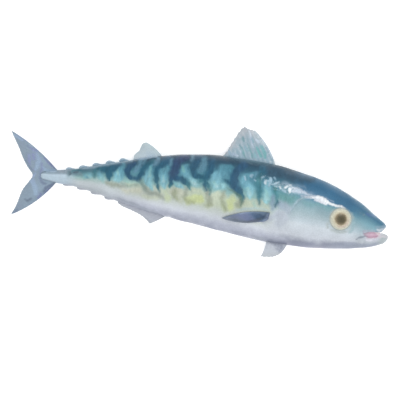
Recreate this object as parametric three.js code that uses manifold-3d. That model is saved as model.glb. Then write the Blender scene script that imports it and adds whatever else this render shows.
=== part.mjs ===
// A whole raw mackerel lying on its left side, with its right flank up and its mouth a little open.
//
// Millimetres. +X runs from the tail to the snout, +Y from the belly to the back and +Z is up.
// Shapes are first worked out in the fish's own measures: x from the tips of the tail, v up from a
// line through the lower jaw towards the back, and w out of the middle plane towards the right flank.

import * as THREE from "three";
import { mergeVertices } from "three/addons/utils/BufferGeometryUtils.js";
import Module from "manifold-3d";

const wasm = await Module();
wasm.setup();

// ---------------------------------------------------------------- driving dimensions

const fishLength = 350; // tips of the tail to the lower jaw
const fleshEnd = 32.5; // where the flesh of the tail stalk ends between the tail's rays
const noseHeight = 3.6; // height of the foremost point
const widestShare = 0.53; // the flank is widest this share of the way up from the belly
const flankFullness = 0.92; // 1 is an ellipse, and less is fuller
const segmentsRound = 36;
const ringGap = 6.5;

// Outline of the flesh: heights of back and belly, half the thickness, and how high the middle
// plane lies over the table. The limp tail sinks until it touches down.
const stations = [
  { x: 32.5, back: 7.4, belly: 0.8, half: 2.6, rise: 4.0 },
  { x: 48, back: 11.5, belly: -0.5, half: 4.0, rise: 5.8 },
  { x: 60, back: 14.3, belly: -0.5, half: 4.9, rise: 7.7 },
  { x: 80, back: 21.3, belly: -2.8, half: 7.2, rise: 11.0 },
  { x: 100, back: 28.2, belly: -6.3, half: 10.5, rise: 14.3 },
  { x: 125, back: 36.4, belly: -10.6, half: 14.2, rise: 17.7 },
  { x: 150, back: 43.2, belly: -13.4, half: 17.4, rise: 19.9 },
  { x: 180, back: 48.6, belly: -15.6, half: 20.4, rise: 21.1 },
  { x: 210, back: 50.2, belly: -18.0, half: 22.2, rise: 21.3 },
  { x: 240, back: 49.8, belly: -19.9, half: 22.8, rise: 21.3 },
  { x: 265, back: 46.6, belly: -19.2, half: 22.0, rise: 21.3 },
  { x: 285, back: 43.0, belly: -18.1, half: 20.2, rise: 21.3 },
  { x: 305, back: 36.4, belly: -15.0, half: 17.3, rise: 21.2 },
  { x: 322, back: 28.5, belly: -11.8, half: 13.6, rise: 21.0 },
  { x: 337, back: 19.3, belly: -7.6, half: 9.4, rise: 20.8 },
  { x: 350, back: 11.6, belly: -1.6, half: 5.6, rise: 20.6 },
];
const tailRise = { x: 0, rise: 1.6 }; // the tips of the tail lie nearly on the table

// How far each end is rounded off, seen from the side and from above.
const roundOff = { tail: 3, upperJaw: 7, lowerJaw: 4.5, snoutPlan: 9 };

const keel = { x: 44, length: 8, height: 1.2, spread: 0.22 }; // one along each side of the tail stalk

const eye = { x: 304.5, v: 11.8, radius: 9.8, bulge: 3.4, sunk: 0.9, turn: 0.16, gap: 0.3 };

// The gill cover's free edge, from its top round to the throat, and how far it stands off.
const gillCover = {
  edge: [
    [275, 27.5], [267, 23.5], [261.5, 15], [258, 6], [257.5, -3], [262, -10.5], [274, -14],
  ],
  hinge: 291,
  lift: 1.2,
  root: 2.0,
  columns: 4,
  rows: 10,
};

// The open mouth, seen from the side: the upper lip from the corner out, and the lower lip back in.
const mouth = {
  upperLip: [
    [327, 2.2], [329.5, 4.1], [334, 5.2], [338.5, 5.8], [342.3, 6.6], [344.4, 8.9], [345.9, 11.2],
    [348, 15],
  ],
  lowerLip: [
    [352, 1], [350, 3.3], [348.4, 4.9], [345.8, 5.6], [343.2, 5.7], [341.4, 3.8], [339, 1.1],
    [335.5, -0.1], [331, -0.3], [327, 2.2],
  ],
  halfWidth: 30,
  steps: 14,
};
const tongue = { x: 330.3, v: 2.5, length: 15.2, height: 4.4, half: 8.2 };

// Fins. Rays run from root to tip; the first one is nearest the head, and a fin's tips are joined by
// a smooth curve. Bow pushes the first and last rays out into the curve of their edge.
const firstDorsal = {
  rays: 11,
  rows: 4,
  root: [239.8, 191.2],
  sink: 4,
  tips: [
    [215.2, 77], [211.2, 77.2], [208, 77.8], [205.3, 78.8], [202.1, 74.6], [198.8, 67.4],
    [196.2, 61], [193.9, 55], [191.1, 50.5],
  ],
  bow: [2.8, 0.3],
  thickness: [1.7, 0.8],
  ridge: 0.35,
  scallop: 0.6,
  sway: 1.3,
  droop: 3.5,
};
const secondDorsal = {
  rays: 6,
  rows: 3,
  root: [138.4, 112.4],
  sink: 3,
  tips: [
    [120.8, 49.6], [118, 48], [116.8, 44.5], [116, 41.2], [113.8, 38.7], [112.2, 36.2],
  ],
  bow: [1.5, 0],
  thickness: [1.5, 0.7],
  ridge: 0.3,
  scallop: 0.3,
  sway: 0.6,
  droop: 1.5,
};
const analFin = {
  rays: 7,
  rows: 3,
  root: [151, 106],
  sink: 3,
  tips: [
    [136.6, -22], [133, -19.1], [128.6, -16.4], [121.5, -13.9], [114.5, -12.1], [109, -10.8],
  ],
  bow: [-0.5, 0],
  thickness: [1.5, 0.7],
  ridge: 0.3,
  scallop: 0.25,
  sway: -0.5,
  droop: 1.2,
};
const tailFin = {
  rays: 14,
  rows: 5,
  root: [[47.4, 0], [46.9, 10.6]],
  tips: [
    [12.2, -35], [14.2, -30], [16, -23.8], [18.4, -12], [22.5, -4], [25.1, 2.8], [19.5, 9.2],
    [14, 16.4], [9, 24.8], [0, 38.2],
  ],
  bow: [-2.9, 2.2],
  thickness: [2.2, 0.8],
  ridge: 0.25,
  scallop: 0.2,
  sway: 0.5,
  droop: 0.5,
};
const pectoralFin = {
  rays: 5,
  rows: 5,
  root: [[241.2, 6.5], [240.7, 0.6]],
  tips: [[199.5, -5.9], [205.4, -6.9], [213.4, -7.1], [223.4, -6], [234.4, -3]],
  bow: [3.0, -0.8],
  stand: [2.2, 1.4], // how far the outer face stands off the flank, at root and tip
  bury: 1.0,
};
const pelvicFin = {
  rays: 5,
  rows: 4,
  root: [[262, -16.6], [242.4, -16.8]],
  tips: [[257, -27.8], [252.8, -31.2], [247.2, -33], [239.9, -33.8]],
  bow: [-0.6, -1.1],
  thickness: [1.6, 0.8],
  ridge: 0.25,
  apart: 3.2, // each stands this far from the middle plane at its root
  splay: 4.5, // and this much further at its tips
};
const finlets = {
  count: 5,
  above: { first: 53.7, gap: 11.5, height: [2.1, 2.8], side: 1 },
  below: { first: 53.5, gap: 12.9, height: [1.3, 2.0], side: -1 },
  length: 8.8,
  thickness: 1.3,
  // the free edge from front to rear, as shares of the length and of the height
  edge: [[0.96, 0.15], [0.68, 0.52], [0.42, 0.95], [0.16, 0.98], [-0.01, 0.42]],
};

const skinMaterial = new THREE.MeshStandardMaterial({
  name: "skin",
  color: new THREE.Color(0.5, 0.62, 0.68),
  roughness: 0.3,
  metalness: 0.25,
});
const eyeMaterial = new THREE.MeshStandardMaterial({
  name: "eye",
  color: new THREE.Color(0.78, 0.79, 0.7),
  roughness: 0.12,
  metalness: 0,
});

// ---------------------------------------------------------------- helpers

// A smooth curve y(x) through rows that each hold x and y: a cubic between neighbours, whose slopes
// at the rows come from the rows on either side.
function smoothThrough(rows, key) {
  const slope = rows.map((row, i) => {
    const before = rows[Math.max(i - 1, 0)];
    const after = rows[Math.min(i + 1, rows.length - 1)];
    return (after[key] - before[key]) / (after.x - before.x);
  });
  return (x) => {
    let i = rows.findIndex((row) => row.x > x) - 1;
    if (i < 0) i = x < rows[0].x ? 0 : rows.length - 2;
    const a = rows[i];
    const b = rows[i + 1];
    const gap = b.x - a.x;
    const t = THREE.MathUtils.clamp((x - a.x) / gap, 0, 1);
    return (
      a[key] * (1 + 2 * t) * (1 - t) ** 2 +
      b[key] * t * t * (3 - 2 * t) +
      gap * t * (1 - t) * (slope[i] * (1 - t) - slope[i + 1] * t)
    );
  };
}

// 1 well inside, falling as a quarter ellipse to 0 at the end, over the given length.
function quarterRound(distanceFromEnd, length) {
  const share = THREE.MathUtils.clamp(distanceFromEnd / length, 0, 1);
  return Math.sqrt(1 - (1 - share) ** 2);
}

// A closed geometry as a solid, turned right side out if moulding has mirrored it.
function solidOf(geometry) {
  const bare = geometry.clone();
  bare.deleteAttribute("normal");
  bare.deleteAttribute("uv");
  const merged = mergeVertices(bare, 1e-4);
  const vertProperties = merged.attributes.position.array;
  const triVerts = new Uint32Array(merged.index.array);
  const solid = new wasm.Manifold(new wasm.Mesh({ numProp: 3, vertProperties, triVerts }));
  if (solid.volume() > 0) return solid;
  return new wasm.Manifold(new wasm.Mesh({ numProp: 3, vertProperties, triVerts: triVerts.reverse() }));
}

function geometryOf(solid) {
  const mesh = solid.getMesh();
  return new THREE.BufferGeometry()
    .setAttribute("position", new THREE.BufferAttribute(mesh.vertProperties, 3))
    .setIndex(new THREE.BufferAttribute(mesh.triVerts, 1));
}

// Moves every vertex of a geometry to where place(vertex) says.
function mould(geometry, place) {
  const position = geometry.getAttribute("position");
  const vertex = new THREE.Vector3();
  for (let i = 0; i < position.count; i++) {
    vertex.fromBufferAttribute(position, i);
    position.setXYZ(i, ...place(vertex).toArray());
  }
  return geometry;
}

const curveThrough = (points) => new THREE.SplineCurve(points.map(([x, v]) => new THREE.Vector2(x, v)));
const mix = THREE.MathUtils.lerp;

// ---------------------------------------------------------------- the flesh

const backAt = smoothThrough(stations, "back");
const bellyAt = smoothThrough(stations, "belly");
const halfAt = smoothThrough(stations, "half");
const riseAt = smoothThrough([tailRise, ...stations], "rise");

// Back, belly, widest height and half thickness at x, with both ends rounded off.
function sectionAt(x) {
  const tail = quarterRound(x - fleshEnd, roundOff.tail);
  const fromNose = fishLength - x;
  const middle = mix(bellyAt(x), backAt(x), widestShare);
  const centre = mix(middle, noseHeight, THREE.MathUtils.smoothstep(x, fishLength - 25, fishLength));
  const up = (backAt(x) - centre) * tail * quarterRound(fromNose, roundOff.upperJaw);
  const down = (centre - bellyAt(x)) * tail * quarterRound(fromNose, roundOff.lowerJaw);
  const half = halfAt(x) * tail * quarterRound(fromNose, roundOff.snoutPlan);
  return { centre, up, down, half };
}

// From the fish's own measures to the row frame. What would lie under the table is pressed flat on it.
function lay(x, v, w) {
  return new THREE.Vector3(x, v, Math.max(riseAt(x) + w, 0));
}

// The point of the skin at x, at an angle from the back's ridge round over the right flank.
function skinPoint(x, angle) {
  const { centre, up, down, half } = sectionAt(x);
  const c = Math.cos(angle);
  const s = Math.sin(angle);
  const onKeel = Math.exp(-(((x - keel.x) / keel.length) ** 2) - (c / keel.spread) ** 2);
  const w = half * Math.abs(s) ** flankFullness + (half > 0 ? keel.height * onKeel : 0);
  return lay(x, centre + c * (c > 0 ? up : down), Math.sign(s) * w);
}

// How far the flank stands from the middle plane at x and height v.
function flankAt(x, v) {
  const { centre, up, down, half } = sectionAt(x);
  const c = THREE.MathUtils.clamp((v - centre) / (v > centre ? up : down), -1, 1);
  return half * (1 - c * c) ** (flankFullness / 2);
}

function ringPositions() {
  const { tail, snoutPlan } = roundOff;
  const tailRings = 4;
  const snoutRings = 7;
  const rings = [];
  for (let i = 0; i < tailRings; i++) {
    rings.push(fleshEnd + tail * (1 - Math.cos((i / tailRings) * (Math.PI / 2))));
  }
  const straight = fishLength - snoutPlan - fleshEnd - tail;
  const count = Math.round(straight / ringGap);
  for (let i = 0; i < count; i++) rings.push(fleshEnd + tail + (straight * i) / count);
  for (let i = 0; i <= snoutRings; i++) {
    rings.push(fishLength - snoutPlan * (1 - Math.sin((i / snoutRings) * (Math.PI / 2))));
  }
  return rings;
}

function flesh() {
  const rings = ringPositions();
  const last = rings.length - 1;
  return mould(new THREE.SphereGeometry(1, segmentsRound, last), (p) => {
    const ring = Math.round((Math.acos(THREE.MathUtils.clamp(-p.y, -1, 1)) / Math.PI) * last);
    const atPole = ring === 0 || ring === last;
    const turn = Math.round((Math.atan2(p.z, p.x) / (2 * Math.PI)) * segmentsRound);
    return skinPoint(rings[ring], atPole ? 0 : (turn / segmentsRound) * 2 * Math.PI);
  });
}

// A plate on the cheek, buried at its hinge and standing off the flank at its free edge.
function gillCoverPlate(side) {
  const { edge, hinge, lift, root, columns, rows } = gillCover;
  const freeEdge = curveThrough(edge);
  return mould(new THREE.BoxGeometry(1, 1, 1, columns, rows, 1), (p) => {
    const back = 0.5 - p.x;
    const rim = freeEdge.getPoint(0.5 - p.y);
    const x = mix(hinge, rim.x, back);
    const v = rim.y;
    const stand = p.z * side > 0 ? mix(-0.4, lift, Math.sqrt(back)) : -root;
    return lay(x, v, side * (flankAt(x, v) + stand));
  });
}

// ---------------------------------------------------------------- fins

// A thin slab with a ridge for each ray. The box's width counts the rays and its height runs out
// along them; outward(x, v, thick) turns a place and a side into the distance from the middle plane.
function finSlab({ rays, rows, root, tips, bow, scallop = 0 }, outward) {
  const tipCurve = curveThrough(tips);
  const columns = 2 * rays;
  return mould(new THREE.BoxGeometry(1, 1, 1, columns, rows, 1), (p) => {
    const along = p.x + 0.5;
    const out = p.y + 0.5;
    const onRay = Math.round(along * columns) % 2 === 0 ? 1 : 0;
    const foot = root(along);
    const ray = tipCurve.getPoint(along).sub(foot);
    const reach = out - (1 - onRay) * (scallop / ray.length()) * out ** 4;
    const across = new THREE.Vector2(ray.y, -ray.x).normalize();
    const edge = mix(bow[0], bow[1], along) * Math.abs(2 * along - 1) * 4 * out * (1 - out);
    const at = foot.addScaledVector(ray, reach).addScaledVector(across, edge);
    return lay(at.x, at.y, outward({ x: at.x, v: at.y, along, out, onRay, face: Math.sign(p.z) }));
  });
}

// For a fin in the middle plane: sway is a gentle wave, and droop the sag of its free edge.
const inMiddlePlane = ({ thickness, ridge, sway, droop }) => ({ along, out, onRay, face }) => {
  const thick = mix(thickness[0], thickness[1], out) - (1 - onRay) * ridge * out;
  return (face * thick) / 2 + sway * out * Math.sin(3 * Math.PI * along) - droop * out * out;
};

// Feet in a row along the back or belly, sunk into the flesh.
const feetAlong = (line, from, to, sink) => (along) => {
  const x = mix(from, to, along);
  return new THREE.Vector2(x, line(x) - sink);
};
const feetBetween = ([a, b]) => (along) => new THREE.Vector2(mix(a[0], b[0], along), mix(a[1], b[1], along));

function dorsalFin(fin) {
  const root = feetAlong(backAt, ...fin.root, fin.sink);
  return finSlab({ ...fin, root }, inMiddlePlane(fin));
}

function bellyFin(fin) {
  const root = feetAlong(bellyAt, ...fin.root, -fin.sink);
  return finSlab({ ...fin, root }, inMiddlePlane(fin));
}

function caudalFin() {
  return finSlab({ ...tailFin, root: feetBetween(tailFin.root) }, inMiddlePlane(tailFin));
}

// Lies back along the flank, and is buried in it on its inner side.
function pectoral(side) {
  const { stand, bury } = pectoralFin;
  return finSlab({ ...pectoralFin, root: feetBetween(pectoralFin.root) }, ({ x, v, out, face }) => {
    const off = face * side > 0 ? mix(stand[0], stand[1], out) : -bury;
    return side * (flankAt(x, v) + off);
  });
}

function pelvic(side) {
  const { thickness, ridge, apart, splay } = pelvicFin;
  return finSlab({ ...pelvicFin, root: feetBetween(pelvicFin.root) }, ({ out, onRay, face }) => {
    const thick = mix(thickness[0], thickness[1], out) - (1 - onRay) * ridge * out;
    return (face * thick) / 2 + side * (apart + splay * out);
  });
}

// One small flap of the row of five that leads to the tail.
function finlet(i, { first, gap, height, side }) {
  const line = side > 0 ? backAt : bellyAt;
  const x = first + gap * i;
  const tall = side * mix(height[0], height[1], i / (finlets.count - 1));
  const tips = finlets.edge.map(([back, up]) => {
    const at = x + finlets.length * back;
    return [at, line(at) + tall * up];
  });
  const thickness = [finlets.thickness, finlets.thickness * 0.6];
  return finSlab(
    {
      rays: 2,
      rows: 2,
      root: feetAlong(line, x + finlets.length, x + 1, side * 1.5),
      tips,
      bow: [0, 0],
    },
    inMiddlePlane({ thickness, ridge: 0.1, sway: 0, droop: 0.2 }),
  );
}

// ---------------------------------------------------------------- mouth and eyes

function openMouth() {
  const { upperLip, lowerLip, halfWidth, steps } = mouth;
  const outline = new THREE.Shape([
    ...curveThrough(upperLip).getPoints(steps),
    ...curveThrough(lowerLip).getPoints(steps).slice(0, -1),
  ]);
  const gape = new THREE.ExtrudeGeometry(outline, { depth: 2 * halfWidth, bevelEnabled: false });
  return solidOf(gape.translate(0, 0, riseAt(tongue.x) - halfWidth));
}

function tongueBody() {
  const { x, v, length, height, half } = tongue;
  const shape = new THREE.SphereGeometry(1, 14, 8).scale(length, height, half);
  return solidOf(shape.translate(x, v, riseAt(x)));
}

function eyeball(side, name) {
  const mesh = new THREE.Mesh(new THREE.SphereGeometry(1, 24, 12), eyeMaterial);
  mesh.name = name;
  mesh.scale.set(eye.radius, eye.radius, eye.bulge);
  mesh.rotation.y = side * eye.turn;
  mesh.position.copy(lay(eye.x, eye.v, side * (flankAt(eye.x, eye.v) - eye.sunk)));
  mesh.updateMatrixWorld();
  return mesh;
}

function socketOf(eyeMesh) {
  const widened = eyeMesh.clone();
  widened.scale.addScalar(eye.gap);
  widened.updateMatrixWorld();
  return solidOf(widened.geometry.clone().applyMatrix4(widened.matrixWorld));
}

// ---------------------------------------------------------------- the whole fish

const eyes = [eyeball(1, "eye_right"), eyeball(-1, "eye_left")];

const grownOn = [
  gillCoverPlate(1),
  gillCoverPlate(-1),
  dorsalFin(firstDorsal),
  dorsalFin(secondDorsal),
  bellyFin(analFin),
  caudalFin(),
  pectoral(1),
  pectoral(-1),
  pelvic(1),
  pelvic(-1),
];
for (let i = 0; i < finlets.count; i++) {
  grownOn.push(finlet(i, finlets.above), finlet(i, finlets.below));
}

let fishSolid = solidOf(flesh());
for (const geometry of grownOn) fishSolid = fishSolid.add(solidOf(geometry));
fishSolid = fishSolid.subtract(openMouth().subtract(tongueBody()));
for (const eyeMesh of eyes) fishSolid = fishSolid.subtract(socketOf(eyeMesh));

const fish = new THREE.Mesh(geometryOf(fishSolid), skinMaterial);
fish.name = "fish";

// The origin is under the middle of the whole fish, on the table.
const laidOut = new THREE.Group().add(fish, ...eyes);
const middle = new THREE.Box3().setFromObject(laidOut, true).getCenter(new THREE.Vector3());
laidOut.position.set(-middle.x, -middle.y, 0);

export default new THREE.Group().add(laidOut);
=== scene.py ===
import math

import bmesh
import bpy
import numpy as np
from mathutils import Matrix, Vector


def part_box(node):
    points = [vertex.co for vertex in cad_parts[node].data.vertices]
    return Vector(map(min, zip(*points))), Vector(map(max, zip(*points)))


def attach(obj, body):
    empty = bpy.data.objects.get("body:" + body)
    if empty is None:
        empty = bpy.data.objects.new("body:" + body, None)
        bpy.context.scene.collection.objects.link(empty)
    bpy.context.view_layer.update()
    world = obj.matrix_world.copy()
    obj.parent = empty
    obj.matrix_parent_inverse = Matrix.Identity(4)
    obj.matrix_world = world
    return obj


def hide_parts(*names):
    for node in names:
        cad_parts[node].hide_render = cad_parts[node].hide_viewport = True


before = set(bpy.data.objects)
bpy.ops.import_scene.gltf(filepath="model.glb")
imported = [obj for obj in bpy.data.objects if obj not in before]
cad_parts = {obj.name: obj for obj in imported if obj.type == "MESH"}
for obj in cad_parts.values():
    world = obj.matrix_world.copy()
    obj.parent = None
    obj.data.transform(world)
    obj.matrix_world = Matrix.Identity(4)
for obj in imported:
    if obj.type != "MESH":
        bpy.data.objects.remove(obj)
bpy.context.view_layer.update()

# Everything is worked out in the fish's own millimetres: x from the tips of the tail to the snout,
# v from the belly up to the back, w out of the middle plane. inMetres() puts them in the frame.
mm = 0.001

flesh = {
    "length": 350, "end": 32.5, "noseHeight": 3.6, "noseReach": 25, "widestShare": 0.53, "fullness": 0.92,
    "roundTail": 3, "roundUpperJaw": 7, "roundLowerJaw": 4.5, "roundSnout": 9,
    "keelAt": 44, "keelLength": 8, "keelHeight": 1.2, "keelSpread": 0.22,
    "lowestTip": -35,  # the tip of the tail's lower lobe
    # x, back, belly, half thickness, height of the middle plane over the table
    "stations": [
        (32.5, 7.4, 0.8, 2.6, 4.0), (48, 11.5, -0.5, 4.0, 5.8), (60, 14.3, -0.5, 4.9, 7.7),
        (80, 21.3, -2.8, 7.2, 11.0), (100, 28.2, -6.3, 10.5, 14.3), (125, 36.4, -10.6, 14.2, 17.7),
        (150, 43.2, -13.4, 17.4, 19.9), (180, 48.6, -15.6, 20.4, 21.1), (210, 50.2, -18.0, 22.2, 21.3),
        (240, 49.8, -19.9, 22.8, 21.3), (265, 46.6, -19.2, 22.0, 21.3), (285, 43.0, -18.1, 20.2, 21.3),
        (305, 36.4, -15.0, 17.3, 21.2), (322, 28.5, -11.8, 13.6, 21.0), (337, 19.3, -7.6, 9.4, 20.8),
        (350, 11.6, -1.6, 5.6, 20.6),
    ],
    "tailTipRise": 1.6,
}
middleLine = flesh["lowestTip"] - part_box("fish")[0].y / mm
halfLength = flesh["length"] / 2


def smoothThrough(xs, ys):
    # a cubic between neighbouring points, with slopes taken from the points on either side
    xs, ys = np.array(xs, float), np.array(ys, float)
    last = len(xs) - 1
    before = np.maximum(np.arange(last + 1) - 1, 0)
    after = np.minimum(np.arange(last + 1) + 1, last)
    slope = (ys[after] - ys[before]) / (xs[after] - xs[before])

    def curve(x):
        i = np.clip(np.searchsorted(xs, x, side="right") - 1, 0, last - 1)
        gap = xs[i + 1] - xs[i]
        t = np.clip((x - xs[i]) / gap, 0, 1)
        ends = ys[i] * (1 + 2 * t) * (1 - t) ** 2 + ys[i + 1] * t * t * (3 - 2 * t)
        return ends + gap * t * (1 - t) * (slope[i] * (1 - t) - slope[i + 1] * t)

    return curve


def pathAt(points, share):
    # a point of the smooth curve through the points, at a share of the way along it
    points = np.array(points, float)
    last = len(points) - 1
    place = np.asarray(share, float) * last
    i = np.clip(np.floor(place).astype(int), 0, last - 1)
    t = (place - i)[..., None]
    p0, p1 = points[np.maximum(i - 1, 0)], points[i]
    p2, p3 = points[i + 1], points[np.minimum(i + 2, last)]
    turnIn, turnOut = (p2 - p0) / 2, (p3 - p1) / 2
    cubic = (2 * p1 - 2 * p2 + turnIn + turnOut) * t ** 3
    return cubic + (3 * p2 - 3 * p1 - 2 * turnIn - turnOut) * t ** 2 + turnIn * t + p1


def easeBetween(low, high, x):
    t = np.clip((np.asarray(x, float) - low) / (high - low), 0, 1)
    return t * t * (3 - 2 * t)


def quarterRound(distance, length):
    share = np.clip(distance / length, 0, 1)
    return np.sqrt(1 - (1 - share) ** 2)


stationX, stationBack, stationBelly, stationHalf, stationRise = zip(*flesh["stations"])
backAt = smoothThrough(stationX, stationBack)
bellyAt = smoothThrough(stationX, stationBelly)
halfAt = smoothThrough(stationX, stationHalf)
riseAt = smoothThrough((0, *stationX), (flesh["tailTipRise"], *stationRise))


def sectionAt(x):
    x = np.asarray(x, float)
    fromNose = flesh["length"] - x
    tail = quarterRound(x - flesh["end"], flesh["roundTail"])
    share = flesh["widestShare"]
    widest = bellyAt(x) * (1 - share) + backAt(x) * share
    toNose = easeBetween(flesh["noseReach"], 0, fromNose)
    centre = widest + (flesh["noseHeight"] - widest) * toNose
    up = (backAt(x) - centre) * tail * quarterRound(fromNose, flesh["roundUpperJaw"])
    down = (centre - bellyAt(x)) * tail * quarterRound(fromNose, flesh["roundLowerJaw"])
    half = halfAt(x) * tail * quarterRound(fromNose, flesh["roundSnout"])
    return centre, up, down, half


def flankAt(x, v):
    # how far the flank stands from the middle plane
    centre, up, down, half = sectionAt(x)
    reach = np.maximum(np.where(v > centre, up, down), 1e-6)
    c = np.clip((v - centre) / reach, -1, 1)
    return half * (1 - c * c) ** (flesh["fullness"] / 2)


def inMetres(points):
    # from the fish's millimetres, with z up from the table, to the frame
    return (points - (halfLength, middleLine, 0)) * mm


def toFrame(x, v, w):
    # w is measured from the middle plane, and what would lie under the table is pressed flat on it
    return inMetres(np.stack([x, v, np.maximum(riseAt(x) + w, 0)], -1))


def distanceTo(x, v, line):
    # millimetres to a polyline
    line = np.array(line, float)
    nearest = np.full(np.shape(x), 1e9)
    for a, b in zip(line, line[1:]):
        d = b - a
        t = np.clip(((x - a[0]) * d[0] + (v - a[1]) * d[1]) / max(d @ d, 1e-9), 0, 1)
        nearest = np.minimum(nearest, np.hypot(x - a[0] - t * d[0], v - a[1] - t * d[1]))
    return nearest


def ridge(distance, width, height):
    # a soft swell along a line, or a groove where the height is taken away
    return height * np.exp(-((distance / width) ** 2))


def ringFaces(rings, around):
    # quads between neighbouring rings of points, each closed round
    j = np.arange(around)
    beside = (j + 1) % around
    faces = []
    for i in range(rings - 1):
        a, b = i * around, (i + 1) * around
        faces += np.stack([a + j, a + beside, b + beside, b + j], -1).tolist()
    return faces


def closedRings(rings, around):
    # the same with a lid on the first ring and on the last
    lids = [list(range(ring * around, (ring + 1) * around)) for ring in (0, rings - 1)]
    return ringFaces(rings, around) + lids


def addFields(mesh, fields):
    # a value at each point, which the materials read by name
    for key, values in fields.items():
        layer = mesh.attributes.new(key, "FLOAT", "POINT")
        layer.data.foreach_set("value", np.asarray(values, np.float32).ravel())


def makePiece(name, points, faces, materials, fields=None, smooth=True):
    mesh = bpy.data.meshes.new(name)
    mesh.from_pydata(points.reshape(-1, 3).tolist(), [], faces)
    shell = bmesh.new()
    shell.from_mesh(mesh)
    bmesh.ops.recalc_face_normals(shell, faces=shell.faces)
    shell.to_mesh(mesh)
    shell.free()
    addFields(mesh, fields or {})
    mesh.polygons.foreach_set("use_smooth", [smooth] * len(mesh.polygons))
    for material in materials:
        mesh.materials.append(material)
    mesh.update()
    piece = bpy.data.objects.new(name, mesh)
    bpy.context.scene.collection.objects.link(piece)
    return piece


def settle(piece, slot, *nodes):
    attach(piece, "root")
    if nodes:
        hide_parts(*nodes)


print("measures ready, middle line at", round(middleLine, 2))

# how much brighter than 1 the studio's light is, and what the gloss adds to a colour
screen = {"gain": 1.4, "veil": 0.012}


def ink(red, green, blue):
    # the surface colour that looks like this screen colour under the studio's light
    shares = [c / 255 for c in (red, green, blue)]
    linear = [c / 12.92 if c < 0.0405 else ((c + 0.055) / 1.055) ** 2.4 for c in shares]
    return tuple(max(c - screen["veil"], 0.002) / screen["gain"] for c in linear) + (1,)


def addNode(tree, kind, inputs=None, **settings):
    node = tree.nodes.new(kind)
    for key, value in settings.items():
        setattr(node, key, value)
    for key, value in (inputs or {}).items():
        if isinstance(value, bpy.types.NodeSocket):
            tree.links.new(value, node.inputs[key])
        else:
            node.inputs[key].default_value = value
    return node


def maths(tree, operation, a, b=0.0, clamp=False):
    return addNode(tree, "ShaderNodeMath", {0: a, 1: b}, operation=operation, use_clamp=clamp).outputs[0]


def times(tree, a, b):
    return maths(tree, "MULTIPLY", a, b)


def nudged(tree, value, noise, amount):
    # the value, shifted to either side by a noise from 0 to 1
    return maths(tree, "ADD", value, times(tree, maths(tree, "SUBTRACT", noise, 0.5), amount))


def mixInk(tree, factor, under, over):
    return addNode(tree, "ShaderNodeMix", {0: factor, 6: under, 7: over}, data_type="RGBA").outputs[2]


def washed(tree, colour, mask, strength, *tone):
    # lets a tone of red, green and blue through where the mask is 1
    return mixInk(tree, times(tree, mask, strength), colour, ink(*tone))


def field(tree, name):
    return addNode(tree, "ShaderNodeAttribute", attribute_type="GEOMETRY", attribute_name=name).outputs["Fac"]


def remap(tree, value, low, high, toLow=0.0, toHigh=1.0):
    inputs = {"Value": value, "From Min": low, "From Max": high, "To Min": toLow, "To Max": toHigh}
    return addNode(tree, "ShaderNodeMapRange", inputs, interpolation_type="SMOOTHSTEP").outputs[0]


def rampOf(tree, value, stops):
    # a stop is its place and then red, green and blue
    node = addNode(tree, "ShaderNodeValToRGB", {"Fac": value})
    ramp = node.color_ramp
    while len(ramp.elements) < len(stops):
        ramp.elements.new(0.5)
    while len(ramp.elements) > len(stops):
        ramp.elements.remove(ramp.elements[-1])
    for element, (place, *tone) in zip(ramp.elements, stops):
        element.position = place
        element.color = ink(*tone)
    return node.outputs["Color"]


def cloudOf(tree, scale, detail=3.0, roughness=0.5, stretch=(1, 1, 1), turn=0.0, shift=0.0):
    # noise in the piece's own place; scale is in cells for each metre
    place = addNode(tree, "ShaderNodeTexCoord").outputs["Object"]
    inputs = {"Vector": place, "Scale": stretch, "Rotation": (0, 0, turn), "Location": (shift, shift, shift)}
    mapped = addNode(tree, "ShaderNodeMapping", inputs).outputs[0]
    inputs = {"Vector": mapped, "Scale": scale, "Detail": detail, "Roughness": roughness}
    return addNode(tree, "ShaderNodeTexNoise", inputs).outputs["Fac"]


def newGroup(name, inputs, outputs):
    # an empty node group with named sockets; a number starts at its value, and a colour has None
    tree = bpy.data.node_groups.new(name, "ShaderNodeTree")
    for way, sockets in (("INPUT", inputs), ("OUTPUT", outputs)):
        for label, value in sockets.items():
            kind = "NodeSocketColor" if value is None else "NodeSocketFloat"
            socket = tree.interface.new_socket(label, in_out=way, socket_type=kind)
            if value is not None:
                socket.default_value = value
    return tree, tree.nodes.new("NodeGroupInput").outputs, tree.nodes.new("NodeGroupOutput").inputs


def buildPaintOver():
    # lays one colour over another inside an outline, whose field is below zero inside it
    tree, given, result = newGroup("paintOver", {
        "Under": None, "Over": None, "Edge": 0.0, "Wobble": 0.0, "Wobble Size": 2.0,
        "Softness": 1.0, "Strength": 1.0,
    }, {"Color": None})
    edge = nudged(tree, given["Edge"], given["Wobble"], given["Wobble Size"])
    cover = remap(tree, edge, given["Softness"], times(tree, given["Softness"], -1.0))
    cover = times(tree, cover, given["Strength"])
    tree.links.new(mixInk(tree, cover, given["Under"], given["Over"]), result["Color"])
    return tree


def buildFineScales():
    # the small scales of the skin: a height, and a shade that is lighter in a scale's middle
    tree, given, result = newGroup("fineScales", {"Size": 900.0, "Lie": 1.7}, {"Height": 0.0, "Shade": 0.0})
    place = addNode(tree, "ShaderNodeTexCoord").outputs["Object"]
    lie = addNode(tree, "ShaderNodeCombineXYZ", {0: 1.0, 1: given["Lie"], 2: given["Lie"]}).outputs[0]
    mapped = addNode(tree, "ShaderNodeMapping", {"Vector": place, "Scale": lie}).outputs[0]
    cells = addNode(tree, "ShaderNodeTexVoronoi", {"Vector": mapped, "Scale": given["Size"]})
    tree.links.new(maths(tree, "SUBTRACT", 1.0, cells.outputs["Distance"]), result["Height"])
    tree.links.new(remap(tree, cells.outputs["Distance"], 0.1, 0.75, 1.0, 0.0), result["Shade"])
    return tree


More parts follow.
